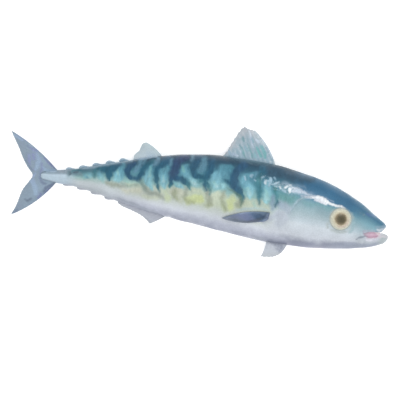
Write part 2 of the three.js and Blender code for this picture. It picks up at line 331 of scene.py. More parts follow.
def buildWetFilm():
    # water that lies on the skin in patches: roughness, and how much of a clear coat there is
    tree, given, result = newGroup(
        "wetFilm", {"Dry": 0.42, "Wet": 0.2, "Patch Size": 60.0}, {"Roughness": 0.3, "Coat": 0.5})
    place = addNode(tree, "ShaderNodeTexCoord").outputs["Object"]
    inputs = {"Vector": place, "Scale": given["Patch Size"], "Detail": 4.0}
    wetness = remap(tree, addNode(tree, "ShaderNodeTexNoise", inputs).outputs["Fac"], 0.38, 0.62)
    span = maths(tree, "SUBTRACT", given["Wet"], given["Dry"])
    tree.links.new(maths(tree, "ADD", given["Dry"], times(tree, wetness, span)), result["Roughness"])
    tree.links.new(remap(tree, wetness, 0, 1, 0.12, 0.35), result["Coat"])
    return tree


def buildShadeBy():
    # makes a colour lighter where the pattern is above a half and darker where it is below
    tree, given, result = newGroup("shadeBy", {"Color": None, "Pattern": 0.5, "Amount": 0.2}, {"Color": None})
    bright = nudged(tree, 1.0, given["Pattern"], times(tree, given["Amount"], 2.0))
    toned = addNode(tree, "ShaderNodeHueSaturation", {"Value": bright, "Color": given["Color"]})
    tree.links.new(toned.outputs[0], result["Color"])
    return tree


paintOver, fineScales, wetFilm, shadeBy = buildPaintOver(), buildFineScales(), buildWetFilm(), buildShadeBy()


def useGroup(tree, group, inputs):
    return addNode(tree, "ShaderNodeGroup", inputs, node_tree=group).outputs


def shaded(tree, colour, pattern, amount):
    return useGroup(tree, shadeBy, {"Color": colour, "Pattern": pattern, "Amount": amount})["Color"]


def layMarks(tree, under, key, layer, grain, brush, softness=None):
    # paints one layer of marks, whose fields are on the piece, with its tints from first to last
    stops = [(i / max(len(layer["tints"]) - 1, 1), *tint) for i, tint in enumerate(layer["tints"])]
    over = shaded(tree, rampOf(tree, field(tree, key + "Tint"), stops), brush, layer["brushing"])
    return useGroup(tree, paintOver, {
        "Under": under, "Over": over, "Edge": field(tree, key + "Edge"), "Strength": layer["strength"],
        "Wobble": grain, "Wobble Size": layer["ripple"], "Softness": layer.get("soft", softness),
    })["Color"]


def newMaterial(name, specular=0.5, coatRoughness=0.12):
    material = bpy.data.materials.new(name)
    material.use_nodes = True
    shader = material.node_tree.nodes["Principled BSDF"]
    shader.inputs["Specular IOR Level"].default_value = specular
    shader.inputs["Coat Roughness"].default_value = coatRoughness
    shader.inputs["IOR"].default_value = 1.4
    return material, material.node_tree, shader


def addRelief(tree, shader, height, strength, distance):
    relief = addNode(tree, "ShaderNodeBump", {"Height": height, "Strength": strength, "Distance": distance})
    tree.links.new(relief.outputs[0], shader.inputs["Normal"])


def finishShader(tree, shader, colour, film, height, strength, distance):
    tree.links.new(colour, shader.inputs["Base Color"])
    tree.links.new(film["Roughness"], shader.inputs["Roughness"])
    tree.links.new(film["Coat"], shader.inputs["Coat Weight"])
    addRelief(tree, shader, height, strength, distance)


print("shader groups ready")

# The pattern of the skin, layer by layer as it is painted. A stroke is its tint at the start, its tint
# at the end where that differs, and its path of (x, v, half width). Tint 0 is the first of the layer's
# tints and 1 is the last. "wander" is how far the strokes' edges stray in mm, and the layers without
# "soft" have edges that are crisp in some places only.
skinMarks = {
    "haze": {  # teal in front of the last band
        "tints": [(112, 165, 168), (116, 168, 170)],
        "soft": 4, "strength": 0.9, "ripple": 2, "grain": "wobble", "brushing": 0.5, "wander": 0.8,
        "strokes": [
            (0.5, [(249, 21.5, 3.6), (256, 22, 4.2), (262.5, 23.5, 1.6)]),
        ],
    },
    "shoulder": {  # greys behind the gill cover
        "tints": [(132, 160, 182), (166, 186, 204), (208, 217, 229), (156, 168, 186)],
        "soft": 2.6, "strength": 0.85, "ripple": 2.4, "grain": "wobble", "brushing": 0.2, "wander": 0.8,
        "strokes": [
            (0, 0.15, [(241, 21.5, 1.8), (242.4, 16, 2.4), (243, 11, 2)]),
            (0.3, 0.5, [(247.5, 15, 2.4), (253, 14.2, 3.6), (257, 11.6, 3.4)]),
            (0.8, 0.7, [(237, -1.6, 1.6), (241.5, 1, 2.2), (246, 4, 3.2), (252.6, 5.6, 5), (251.6, -1, 4)]),
            (0.25, [(248, 33.4, 1), (252, 34.6, 1.4), (255.5, 33, 1.2)]),
            (0, [(256.6, 35.8, 0.6), (260, 34.8, 0.4), (264, 34.2, 0.4), (268.5, 33.6, 0.2)]),
        ],
    },
    "bellyShade": {  # painted shade along the belly's edge, and a paler stroke over the anal fin that lifts the shade there
        "tints": [(160, 168, 181), (188, 193, 208)],
        "soft": 1.7, "strength": 0.85, "ripple": 1.4, "grain": "wobble", "brushing": 0.1, "wander": 0.5,
        "strokes": [
            (1, [(107, -9, 0.8), (128, -11.6, 1.1), (144, -13.2, 1)]),
            (0, [(231, -18.6, 0.7), (238, -17.2, 1.1)]),
            (0, [(104.8, -4.3, 0.6), (113.4, -6.3, 0.9), (122.9, -8.3, 1.1), (132.3, -10.4, 1.2),
                (141.7, -12.1, 1.1)]),
        ],
    },
    "sallow": {  # beige, pale green and yellow below the bands
        "tints": [(206, 209, 194), (199, 213, 189), (209, 221, 164)],
        "soft": 2.8, "strength": 0.92, "ripple": 2.8, "grain": "wobble", "brushing": 0.22, "wander": 0.9,
        "strokes": [
            (0, 0.1, [(109, 4.4, 1.8), (116, 4.4, 2.4), (122, 4.6, 2.8)]),
            (0.5, 0.4, [(112, 10, 1.8), (119, 9.6, 1.6)]),
            (0.3, [(128, 3, 1.5), (137, 1.5, 2), (142, 6.5, 2)]),
            (0.55, 0.65, [(147, 9.5, 2.8), (148.3, 5.2, 4)]),
            (0.1, 0.25, [(152.5, 9.5, 3.6), (160, 9.2, 3.8), (160.6, 4.4, 3.4)]),
            (0.35, 0.45, [(167, 14, 2.6), (174.5, 13.4, 3), (183, 12.5, 3)]),
            (0.6, [(180, 18.2, 0.9), (183.5, 17.6, 1)]), (0.9, 1, [(167.5, 6.4, 4.4), (177, 7.2, 4.8)]),
            (0.35, [(186, 6, 5), (192.3, 12.6, 4.2), (192.3, 5.8, 4.4)]),
            (0.4, 0.6, [(197, 12, 4), (199, 5, 4)]),
            (0.75, 1, [(204.6, 14.6, 2.4), (205.4, 10.4, 4.6), (205.4, 5.8, 4)]),
            (0.55, 0.3, [(212, 9.5, 4.2), (219, 12.6, 3), (225, 12, 2.2)]),
            (0.3, 0.2, [(229, 13.4, 1.8), (234, 14.6, 1.6)]),
        ],
    },
    "light": {  # the light bands, from deep to bright
        "tints": [(86, 141, 160), (120, 175, 193), (155, 206, 214)],
        "strength": 0.95, "ripple": 2.4, "grain": "brush", "brushing": 0.5, "wander": 0.5,
        "strokes": [
            (0.35, 0.6, [(70.5, 9.4, 0.9), (74, 10.8, 2), (76.8, 11.6, 2.2)]),
            (0.35, 0.9, [(84.6, 14.6, 1.5), (85.8, 12, 2.3), (88.6, 9.8, 1.2)]),
            (0.05, 0.25, [(103.9, 26, 2), (103, 21.6, 3.6)]),
            (0.15, 0.85, [(103, 21.6, 3.6), (102, 16.6, 4.6), (101.3, 12, 3.4)]),
            (0.1, 0.6, [(129.8, 30.5, 1.4), (128.2, 25.8, 2.5), (127.8, 20.4, 3.2)]),
            (0.6, 1, [(127.8, 20.4, 3.2), (129.2, 15.8, 3.3), (132, 11.4, 2.3), (133.6, 8.8, 1.1)]),
            (0.05, 0.9, [(143.2, 32, 1.6), (141.7, 27, 3.5), (141.6, 21.4, 3.9), (142.6, 16.4, 3.1),
                (144.3, 12.4, 1.5)]),
            (0.15, 0.4, [(161.4, 35.6, 1.3), (158.8, 31.8, 2.5), (159.5, 28.7, 3.7), (161.8, 27.2, 2.2)]),
            (0.55, 1, [(160.6, 25.5, 0.6), (164.8, 24.9, 1.5), (168.6, 22.4, 2.1), (171.6, 19.4, 2)]),
            (0.5, 0.8, [(152.6, 18.2, 1.2), (155.4, 16.5, 2.4), (158.6, 15.6, 2)]),
            (0, 0.2, [(199.5, 39.5, 3.4), (192.8, 36.9, 4), (195.2, 33.8, 3)]),
            (0.45, 1, [(188.2, 31.6, 3.9), (189.2, 26.4, 4.8), (190.6, 21.8, 3.4), (196.4, 23, 2.2)]),
            (0, 0.4, [(222.4, 38.8, 2.2), (217.6, 36.6, 2.2), (214, 32.6, 3.1), (213.4, 29.4, 3.6)]),
            (0.5, 1, [(216.4, 28.2, 3.4), (220.3, 24.2, 3.2), (221.3, 19.7, 2.6), (221.1, 16.8, 1.4)]),
            (0.5, 1, [(234.6, 32.4, 1.6), (235.6, 28, 3.2), (235.8, 21.6, 3.2), (236.4, 16.4, 2.4)]),
        ],
    },
    "mint": {  # green to nearly white in the light bands
        "tints": [(134, 192, 182), (166, 208, 204), (200, 224, 228)],
        "soft": 1.3, "strength": 0.5, "ripple": 1.8, "grain": "brush", "brushing": 0.3, "wander": 0.6,
        "strokes": [
            (0.1, 0.3, [(66, 9.6, 1), (70.5, 9, 1.4)]), (0.3, 0.6, [(74.2, 11.6, 0.8), (77, 10.4, 1.2)]),
            (0.3, 0.6, [(86.2, 10.8, 1), (90, 8, 1.3)]), (0.3, 0.5, [(100, 19.5, 0.9), (101.2, 16.4, 1.4)]),
            (0.2, 0.4, [(108, 12.2, 0.8), (113, 11.6, 1), (119, 11.8, 0.9)]),
            (0, 0.5, [(129.6, 28.6, 0.8), (128.8, 24.6, 0.9), (128.8, 20.6, 1.3)]),
            (0.4, 0.8, [(141.9, 22, 0.9), (141.6, 17.6, 1.3)]),
            (0.2, 0.6, [(152.6, 17.6, 1), (156, 16.4, 1.3)]),
            (0, 0.1, [(157.4, 32.4, 1.2), (158.6, 29.4, 1.6)]),
            (0.5, 0.9, [(167, 22.6, 1), (171, 19.6, 1.2)]),
            (0.3, 0.8, [(187.4, 24.6, 1.6), (189.6, 21.4, 1.6)]),
            (0.4, 0.8, [(217.8, 24.8, 1.5), (221.4, 19.8, 1.7)]),
            (0.2, 0.7, [(234, 25, 1.4), (236.2, 19, 2)]), (0.4, [(224.8, 12.6, 1.4), (226.6, 9.6, 1.2)]),
        ],
    },
    "olive": {  # smudges below the bands
        "tints": [(118, 158, 158), (158, 167, 158), (172, 182, 140)],
        "soft": 2.2, "strength": 0.85, "ripple": 2.2, "grain": "wobble", "brushing": 0.3, "wander": 0.7,
        "strokes": [
            (0, 0.45, [(121.6, 14.8, 1.8), (125, 10.8, 2.6), (129.2, 7, 2.3)]),
            (0.45, 0.5, [(129.4, 6, 1.9), (136, 4.9, 2), (141, 4.3, 2), (143.8, 2.7, 1.4)]),
            (0.15, 0.3, [(105.5, 9.2, 0.8), (112, 8.8, 0.9), (119, 10, 1.3)]),
            (0.7, 0.8, [(153.6, 11.4, 1.6), (155, 6.8, 2.6), (157, 3, 1.5)]),
            (0.45, 1, [(163.2, 16, 0.8), (163.4, 11.2, 1.5), (164.5, 7, 1.5), (168, 4, 1.9),
                (172.5, 3.5, 1.3)]),
            (0.45, 0.75, [(184, 15.6, 2.3), (185.2, 10.2, 2.8), (186, 4.8, 2.9)]),
            (0.6, 0.8, [(196.6, 17.8, 1.2), (197.4, 11.4, 2.2), (198.4, 6.8, 2.3), (201.2, 2.8, 1.2)]),
            (0.5, 0.7, [(214, 14.8, 2.6), (213.4, 9.4, 3.1), (213.2, 6.6, 2.5)]),
            (0.3, 0.4, [(229.4, 14.6, 1.5), (230.4, 11.4, 0.9)]),
            (0.55, [(93.2, 8, 1.5), (97.2, 7, 2.4), (103, 6.1, 2), (109, 7.6, 1)]),
        ],
    },
    "dark": {  # the dark bands, from violet through navy and blue to teal
        "tints": [(62, 80, 112), (54, 90, 120), (54, 102, 124), (82, 140, 146)],
        "strength": 0.95, "ripple": 1.8, "grain": "brush", "brushing": 0.5, "wander": 0.6,
        "strokes": [
            (0.9, 0.75, [(53, 10.4, 0.4), (58, 11.8, 1.1), (63, 13.2, 1.3), (68, 14.2, 0.8)]),
            (0.8, 0.5, [(78.5, 17.6, 0.6), (82, 18.4, 1.7), (87, 18.6, 3), (93, 19.6, 3.4), (98, 23, 3.2),
                (101, 26, 1.6)]),
            (0.6, 0.75, [(92, 18, 3.6), (93.6, 14, 2.4), (94.8, 10.6, 1)]),
            (0.8, 0.9, [(80, 16, 1.5), (80.8, 12.6, 1.2), (81.4, 9.4, 0.6)]),
            (0.3, 0.5, [(113.5, 29, 2.2), (109.6, 25.8, 2.6), (109.6, 20.6, 2.9), (111.8, 17.4, 2.4),
                (114.8, 15.6, 2), (119, 15.7, 2.4)]),
            (0.5, 0.75, [(119.6, 15.6, 2.7), (121.2, 19, 2.5), (121.6, 24, 2.2), (126.2, 30, 2.2),
                (129.6, 34.4, 2)]),
            (0.45, 0.8, [(143.5, 39.2, 3), (141, 35, 3.4), (137.3, 30.4, 2.6), (135.2, 25.5, 2.3),
                (134.9, 20.5, 2.3), (136.4, 15.8, 1.9), (138.6, 11.8, 1.5), (140.4, 8.4, 0.9)]),
            (0, 0.2, [(158, 42.6, 3.2), (153, 37.6, 4), (150.5, 31.4, 4.1), (150.5, 25.8, 4.1),
                (149.8, 22, 3)]),
            (0.45, 1, [(149.2, 21.5, 2.5), (148.8, 17, 2), (148.6, 13.6, 0.8)]),
            (0.25, 1, [(151, 23, 3), (156, 21.8, 2.8), (161, 21.2, 3), (165.2, 19.6, 2.4),
                (166.6, 15.6, 1.1)]),
            (0.4, 0.65, [(170, 45.4, 3.4), (168, 39.5, 3.1), (167.6, 33.4, 3.1), (169.3, 28.2, 2.8),
                (173, 26.9, 2.5), (177.5, 26.3, 2.7)]),
            (0.65, 0.45, [(178, 26, 3), (181, 30.2, 2.8), (181.8, 36.2, 2.8), (182.4, 43.4, 3.3)]),
            (0.7, 0.6, [(178.4, 24.4, 2.8), (179.6, 20.6, 2.4), (181.8, 17.4, 1.4)]),
            (0.85, 0.95, [(178, 24.6, 1.8), (174.4, 23.4, 1.8)]),
            (0.8, 0.95, [(180.4, 23.4, 1.6), (182.8, 20.4, 1.6), (185.2, 17.4, 1.2)]),
            (0.7, 0.6, [(197, 28.2, 0.6), (199.4, 27.6, 1.6), (202.5, 26.9, 2.2)]),
            (0.35, 0.45, [(210.5, 44.2, 3.8), (206.8, 38.8, 3.4), (204, 33.8, 3.6), (203.8, 29.4, 4.1),
                (206.4, 24.6, 3.8)]),
            (0.35, 1, [(206.4, 24.6, 3.8), (210.8, 19.8, 3.8), (213.8, 16.6, 2.4), (214.6, 13.4, 1)]),
            (0.6, 0.95, [(228.8, 43, 4), (226.6, 37.2, 3.2), (226.8, 32, 3)]),
            (0.8, 0.85, [(226.2, 31.2, 2.6), (227.5, 25.6, 2.7), (229.1, 20, 2.3), (230.3, 15.4, 1.5),
                (230, 12.4, 0.6)]),
            (1, 0.9, [(242.4, 29.2, 1.4), (243.1, 25.6, 1.7), (244.4, 21, 1.3)]),
            (0.9, 0.55, [(244.6, 19.5, 0.9), (245.8, 15.6, 1.3), (245.3, 12, 0.8)]),
        ],
    },
    "spot": {  # dull spots between the bands
        "tints": [(116, 155, 180), (96, 142, 162), (126, 148, 156)],
        "soft": 1.8, "strength": 0.85, "ripple": 1.6, "grain": "wobble", "brushing": 0.5, "wander": 0.4,
        "strokes": [
            (0.35, 0.15, [(119.6, 32, 1.6), (118.8, 28, 1.8), (116.4, 24, 1.7), (115.8, 21.8, 1.2)]),
            (0.5, 0.35, [(122.8, 32.8, 1.1), (121.8, 30, 1.1)]),
            (0.4, [(175.6, 43.5, 2.4), (174.8, 37.8, 3), (174.2, 33.4, 2.8)]),
            (0.15, 0.25, [(134, 37.2, 1.4), (133.2, 33.4, 2), (131.6, 31.2, 1)]),
            (0.25, 0.4, [(146.8, 38.6, 1), (145.6, 33.6, 1.1)]),
            (0.1, 0.2, [(164.4, 45, 1.4), (163.6, 40.6, 1)]), (1, [(57.4, 11.2, 1.4), (57.4, 8.4, 0.9)]),
            (0.8, 0.9, [(61, 10.4, 1.4), (68, 10.4, 1.8)]), (0.45, [(222.6, 36, 1.2), (223, 40, 1.3)]),
        ],
    },
    "green": {  # green shade under two of the bands
        "tints": [(98, 130, 120), (114, 148, 146)],
        "soft": 1.2, "strength": 0.8, "ripple": 1.6, "grain": "wobble", "brushing": 0.3, "wander": 0.5,
        "strokes": [
            (0, [(206, 19.4, 0.9), (209.6, 17, 1.4), (212.4, 14.8, 1.8), (214.2, 11, 1.3), (215, 8.4, 0.7)]),
            (0.8, 0.5, [(200.6, 21.6, 0.8), (203.6, 20.6, 1.2), (206, 19.4, 0.9)]),
            (1, 0.9, [(182.6, 18.4, 0.6), (185.6, 16.6, 0.9), (185.8, 13.4, 0.9)]),
        ],
    },
    "finRim": {  # painted highlight: a pale rim above the pectoral fin, where its edge catches the light
        "tints": [(174, 202, 208)],
        "soft": 1.2, "strength": 0.7, "ripple": 1.2, "grain": "wobble", "brushing": 0.3, "wander": 0.3,
        "strokes": [
            (0.5, [(212, 3.4, 0.5), (219, 6.2, 0.8), (228, 8, 0.8), (238, 9, 0.5)]),
        ],
    },
    "nape": {  # the dark nape
        "tints": [(60, 90, 110), (70, 96, 118)],
        "soft": 3, "strength": 0.85, "ripple": 2.4, "grain": "wobble", "brushing": 0.5, "wander": 0.8,
        "strokes": [
            (0.3, [(236, 42, 3.6), (250, 42, 3.8), (262, 40.8, 3.6)]),
            (0, [(273.5, 42.8, 2.2), (266, 40.4, 3.2), (266, 37.4, 1.2)]),
        ],
    },
    "cheek": {  # teal of the cheek
        "tints": [(126, 172, 178), (130, 175, 180)],
        "soft": 2.4, "strength": 0.6, "ripple": 2.4, "grain": "wobble", "brushing": 0.5, "wander": 0.8,
        "strokes": [
            (0.5, [(297.5, 20.2, 1.3), (292, 20.4, 2), (283, 20.6, 1.6), (271, 20.5, 2)]),
        ],
    },
    "stalk": {  # greys of the tail's stalk
        "tints": [(84, 104, 118), (152, 166, 178)],
        "soft": 0.9, "strength": 0.9, "ripple": 1, "grain": "wobble", "brushing": 0.5, "wander": 0.4,
        "strokes": [
            (0, [(57.6, 11.8, 0.8), (58.2, 9.4, 0.9)]), (0, 0.1, [(61, 11.3, 0.7), (65, 12.3, 0.8)]),
            (1, [(48.6, 9.8, 0.9), (54.6, 10.6, 1.1)]),
        ],
    },
    "feet": {  # pale skin at the feet of the back fins and on the ridge, made lighter as painted light that lifts the shade where the ridge turns away
        "tints": [(158, 184, 202), (138, 168, 187), (190, 214, 236)],
        "soft": 1.4, "strength": 0.85, "ripple": 0.8, "grain": "wobble", "brushing": 0.3, "wander": 0.25,
        "strokes": [
            (0, 0.3, [(192.8, 50.2, 1.4), (197.4, 49.7, 1.5), (202.9, 49.7, 1.4), (208.3, 49.8, 1.4),
                (215.6, 49.8, 1.4), (222.9, 49.7, 1.4), (230.2, 49.7, 1.4), (235.6, 50, 1.4),
                (239.2, 50.2, 0.9)]),
            (0.9, [(110.4, 33.7, 1.6), (116.2, 34.5, 1.7), (122.3, 35.9, 1.6), (127.5, 37.8, 1.2),
                (132.8, 38.7, 0.8)]),
            (0.9, [(37.5, 8.4, 0.4), (41, 9.2, 0.7), (45, 9.8, 0.7)]),
            (0.5, [(69, 16.8, 0.6), (76, 19, 1.3), (88, 23.7, 1.2), (100, 28, 1), (111, 31.8, 0.9)]),
        ],
    },
    "gillLine": {  # the gill cover's pale edge
        "tints": [(168, 200, 212), (190, 215, 226)],
        "soft": 0.9, "strength": 0.75, "ripple": 0.6, "grain": "wobble", "brushing": 0.5, "wander": 0.15,
        "strokes": [
            (0.9, 0.5, [(273.5, 26.1, 0.4), (268.5, 24.6, 0.7), (264.6, 21.8, 0.8), (262, 18.2, 0.8),
                (260.6, 14, 0.7), (260, 10.6, 0.2)]),
        ],
    },
    "snout": {  # blue of the snout
        "tints": [(84, 118, 160), (146, 170, 188)],
        "soft": 1.2, "strength": 0.8, "ripple": 1, "grain": "wobble", "brushing": 0.2, "wander": 0.3,
        "strokes": [
            (0, [(327, 21, 1), (330.3, 19.8, 1.4)]), (0.15, 0.35, [(332.4, 20.6, 0.9), (335.6, 19.6, 0.9)]),
            (1, [(336.7, 9.8, 0.8), (340.7, 10.5, 1.1), (344.4, 11.9, 1.2), (346, 12.6, 1)]),
            (1, [(345.5, 15, 0.7), (345.5, 15, 0.7)]),
        ],
    },
    "lipBlush": {  # lilac, rose and pale
        "tints": [(172, 174, 190), (213, 198, 209), (215, 214, 220)],
        "soft": 0.8, "strength": 0.85, "ripple": 1, "grain": "wobble", "brushing": 0.1, "wander": 0.2,
        "strokes": [
            (0, [(327.3, 3.4, 1), (328.3, 1.4, 0.9)]),
            (0, [(326.7, 4.9, 0.7), (330.6, 5.7, 0.6), (336, 6.3, 0.5)]),
            (0.5, [(330.5, -1, 0.5), (334.9, -0.4, 0.5), (339.3, 0.8, 0.6)]),
            (0.5, 0.6, [(340.6, 1.9, 0.8), (341.6, 3.4, 1.2)]),
            (1, [(343.6, 4.6, 0.7), (345.6, 4.6, 0.7), (347.6, 4.3, 0.5)]),
            (0.8, 1, [(342.3, 1.4, 0.8), (344.4, 3.1, 0.9), (347.8, 3.2, 0.8)]),
            (0.85, [(348.9, 4.1, 0.5), (349.8, 2.3, 0.7)]),
        ],
    },
    "mouthCrease": {  # dark specks, and painted shade in the crease at the corner of the mouth
        "tints": [(120, 132, 145), (150, 158, 172)],
        "soft": 0.7, "strength": 0.85, "ripple": 1, "grain": "flecks", "brushing": 0.2, "wander": 0.2,
        "strokes": [
            (0.4, 0.6, [(323.2, -2.1, 0.6), (325.5, -0.9, 0.8), (328.4, 0.4, 0.6)]),
            (0.5, 0.6, [(321.6, -3.6, 0.4), (322.2, -3.7, 0.3)]),
            (0.6, [(337.9, 6.6, 0.4), (338.7, 6.6, 0.3)]), (0.7, [(340.2, 9.5, 0.4), (341.8, 9.7, 0.5)]),
            (0.4, 0.6, [(321.9, -4, 0.3), (322.9, -2.3, 0.5), (325.2, -0.7, 0.6)]),
        ],
    },
    "jawGlint": {  # painted glints along the jaw and lips
        "tints": [(166, 188, 206), (208, 216, 224), (232, 234, 244)],
        "soft": 0.8, "strength": 0.85, "ripple": 1, "grain": "flecks", "brushing": 0.1, "wander": 0.2,
        "strokes": [
            (0.6, 0.8, [(338.8, 8.1, 0.7), (341.1, 7.7, 0.8)]), (0.4, [(341, 8.9, 0.5), (343, 9.4, 0.7)]),
            (0.3, [(343.2, 8.7, 0.7), (345, 10.1, 0.7)]), (0.5, [(326, -3, 0.7), (327, -5.2, 0.8)]),
            (1, [(331, -2.5, 0.9), (335, -1.9, 0.9)]),
            (0.5, [(326.3, -2.8, 0.5), (327.4, -4.5, 0.7), (327.6, -6.1, 0.5)]),
        ],
    },
    "eyeShade": {  # painted shadow below the eye, and the yellow-green and teal skin round it
        "tints": [(180, 190, 188), (160, 190, 198)],
        "soft": 1.6, "strength": 0.8, "ripple": 1.4, "grain": "wobble", "brushing": 0.2, "wander": 0.5,
        "strokes": [
            (0, 0.1, [(298.2, 1.2, 0.8), (302.5, -0.1, 1.1), (306.9, 0.4, 1.1), (311.2, 2.2, 0.9)]),
            (0, [(294.6, 2.6, 0.8), (293.4, 6.6, 0.7)]), (0, 0.2, [(312.4, 2.8, 0.6), (314.2, 5, 0.6)]),
            (1, [(314.8, 2.3, 1.4), (316.5, 5.9, 1.4), (317.1, 10.1, 1.3)]),
            (0.4, 0.6, [(314.4, 14.6, 1.1), (312.8, 18.9, 0.9)]),
        ],
    },
    "streak": {  # silver of the skin behind the eye, with a painted highlight along it
        "tints": [(208, 214, 226), (246, 251, 254)],
        "soft": 0.9, "strength": 0.97, "ripple": 1.6, "grain": "flecks", "brushing": 0.5, "wander": 0.35,
        "strokes": [
            (0.6, 1, [(269.6, 26.1, 0.4), (273, 26.8, 0.9), (277, 27.3, 1.3), (280, 27.2, 1.4),
                (284.5, 26.7, 1.9), (288, 25.6, 1.8), (291.6, 24.6, 1.2)]),
            (1, 0.8, [(291.6, 24.4, 1), (297, 23.2, 1.1), (301.4, 22.6, 0.9), (304, 22.2, 1.3),
                (306.4, 21.5, 0.8)]),
            (0, 0.5, [(279, 24.9, 0.9), (283, 24.3, 1.5), (289, 23.2, 1.3)]),
        ],
    },
    "lilac": {  # painted lilac sheen beside the streak
        "tints": [(165, 180, 200), (200, 214, 226)],
        "soft": 1.2, "strength": 0.85, "ripple": 1.4, "grain": "wobble", "brushing": 0.3, "wander": 0.4,
        "strokes": [
            (0.3, 0.1, [(257.6, 29.6, 1.2), (263, 29.8, 1.5), (269, 28.9, 1)]),
            (0.2, 0.3, [(269, 28.9, 1), (274, 28.4, 0.8), (278, 28.4, 0.8)]),
            (0.1, [(288.5, 28.2, 0.1), (292, 27.6, 0.2), (296, 26.2, 0.2)]),
            (0.4, 0.8, [(266.5, 25.6, 0.8), (270.5, 26.2, 1), (274.5, 26.4, 0.9)]),
            (0.9, 0.5, [(256.6, 32.2, 1.2), (261.5, 31.8, 1.4), (265.4, 30.8, 0.9)]),
        ],
    },
    "glitter": {  # painted highlights: broken glitter of wet skin on the shoulder
        "tints": [(132, 168, 190), (172, 203, 220), (240, 249, 253)],
        "soft": 0.8, "strength": 0.95, "ripple": 1.2, "grain": "flecks", "brushing": 0.5, "wander": 0.4,
        "strokes": [
            (0.75, 0.85, [(232.9, 33.6, 1), (233, 31.6, 1.3)]),
            (0.35, 0.4, [(236.2, 37.4, 1.1), (235.6, 34.6, 1.1)]),
            (0, [(239.4, 38.6, 0.7), (240.6, 37, 0.8)]), (0.2, [(229.4, 37, 0.8), (229, 36.2, 0.6)]),
            (0.15, 0.2, [(219.6, 37, 1.2), (219.4, 36, 1)]), (0.6, [(232.9, 34.1, 0.8), (233.4, 32.4, 0.9)]),
            (0.3, [(228, 36.1, 0.6), (230.1, 36.9, 0.6)]),
            (0.35, [(236.9, 36.9, 0.8), (237, 33.7, 0.9), (236.3, 30.3, 0.7)]),
            (0.3, [(213.6, 33.9, 0.7), (214.5, 31.6, 0.8)]), (0.2, [(218.7, 36.9, 0.7), (219.9, 35.2, 0.8)]),
            (0.35, [(222.8, 33.4, 0.5), (224, 32.7, 0.5)]),
            (0.45, [(240.5, 32.3, 0.6), (242, 34, 0.7), (244.1, 35, 0.5)]),
            (0.75, [(246.1, 30.4, 0.7), (247.1, 28.9, 0.7)]), (0.95, [(250.7, 31, 0.9), (251.9, 32.5, 0.8)]),
            (0.8, [(253.7, 33.7, 0.6), (255.6, 34.4, 0.5)]), (1, [(254.6, 31, 1), (255.4, 28.4, 1.2)]),
            (0.4, [(249.1, 28, 0.9), (251.8, 27.6, 1.1)]),
        ],
    },
    "glint": {  # where dark specks and pale painted glints lie among the glitter highlights
        "wander": 0.8,
        "strokes": [
            (0.5, [(228, 36.4, 2.6), (236, 33.4, 3.4), (246, 31, 3.6), (258, 30, 3.2), (270, 29, 1.4)]),
        ],
    },
}
# these run over both flanks, and the hidden one has them in places of its own
bandKeys = ("haze", "bellyShade", "sallow", "light", "mint", "olive", "dark", "spot", "green", "stalk")


def strokeField(x, v, layer):
    # millimetres outside the nearest stroke, below zero inside it, and the tint of the strokes nearby
    drift = layer["wander"]
    x = x + drift * np.sin(v / 2.3 + x / 9) + 0.5 * drift * np.sin(v / 0.9 + x / 5)
    v = v + drift * np.sin(x / 2.9 + 1) + 0.4 * drift * np.sin(x / 1.1)
    edge = np.full(x.shape, 1e3)
    weight = np.full(x.shape, 1e-9)
    tintSum = np.zeros(x.shape)
    for *tints, path in layer["strokes"]:
        line = pathAt(path, np.linspace(0, 1, 5 * (len(path) - 1) + 1))
        own = np.full(x.shape, 1e3)
        share = np.zeros(x.shape)
        for k, (a, b) in enumerate(zip(line[:-1], line[1:])):
            d = b[:2] - a[:2]
            t = np.clip(((x - a[0]) * d[0] + (v - a[1]) * d[1]) / max(d @ d, 1e-9), 0, 1)
            away = np.hypot(x - a[0] - t * d[0], v - a[1] - t * d[1]) - a[2] - t * (b[2] - a[2])
            share = np.where(away < own, (k + t) / (len(line) - 1), share)
            own = np.minimum(own, away)
        near = np.exp(-np.clip(own, -3, 30) / 1.2)
        tintSum += near * (tints[0] + (tints[-1] - tints[0]) * share)
        weight += near
        edge = np.minimum(edge, own)
    return np.clip(edge, -20, 20), tintSum / weight


head = {
    # both edges run from the throat up as (v, x), and a gap, roll or rim is its width and height
    "gillEdge": [(-14, 274), (-10.5, 262), (-3, 257.5), (6, 258), (15, 261.5), (23.5, 267), (27.5, 275)],
    "gillLift": 1.1, "gillSlope": 22, "gillGap": (0.8, 0.35), "gillShade": (0.5, 0.7),
    "innerCover": [(-12.5, 300), (-8, 286), (-2, 280.5), (5, 279), (12, 280), (20, 285)],
    "innerLift": 0.1, "innerSlope": 6, "innerGap": (1.6, 0.07),
    "creases": [
        # width, depth, shade and path
        (0.9, 0.15, 0.08, [(342, 10.4), (334, 8.4), (327, 5.6), (322.4, 1.8), (321.4, -1.8), (323, -4.2)]),
        (1.2, 0.2, 0.1, [(324, -4), (316, -6.2), (308, -8.2), (300, -10.8), (288, -13.4)]),
    ],
    "nostrils": [(324.5, 19.4, 0.95, 0.8), (321.2, 20.4, 0.6, 0.5)],  # x, v, radius, depth
    "lipRoll": (0.9, 0.22), "eyeRim": (1.2, 0.22), "nostrilRim": (0.4, 0.05),
}
body = {
    "lateralLine": [
        (255, 25), (238, 27.5), (215, 28), (185, 26), (150, 20.5), (110, 12.8), (75, 7.4), (50, 5),
    ],
    "lineRidge": (0.55, 0.16), "lineGroove": (0.5, 0.1), "vent": (1.2, 0.6), "ventAt": 153,
}
eye = {
    "x": 304.5, "v": 11.8, "radius": 9.8, "bulge": 3.4, "sunk": 0.55, "turn": 0.16,
    "pupil": 5.3, "lens": 0.55, "irisDip": 0.3, "rim": 9.2, "socketDepth": 4.2,
    "irisTones": [
        (0.0, 84, 79, 62), (0.24, 94, 88, 70), (0.38, 112, 104, 84), (0.49, 154, 141, 117),
        (0.58, 197, 189, 165), (0.72, 212, 208, 186), (0.86, 206, 208, 192), (1.0, 200, 204, 196),
    ],
    "blushAt": 6.9, "blush": (209, 192, 180),
}
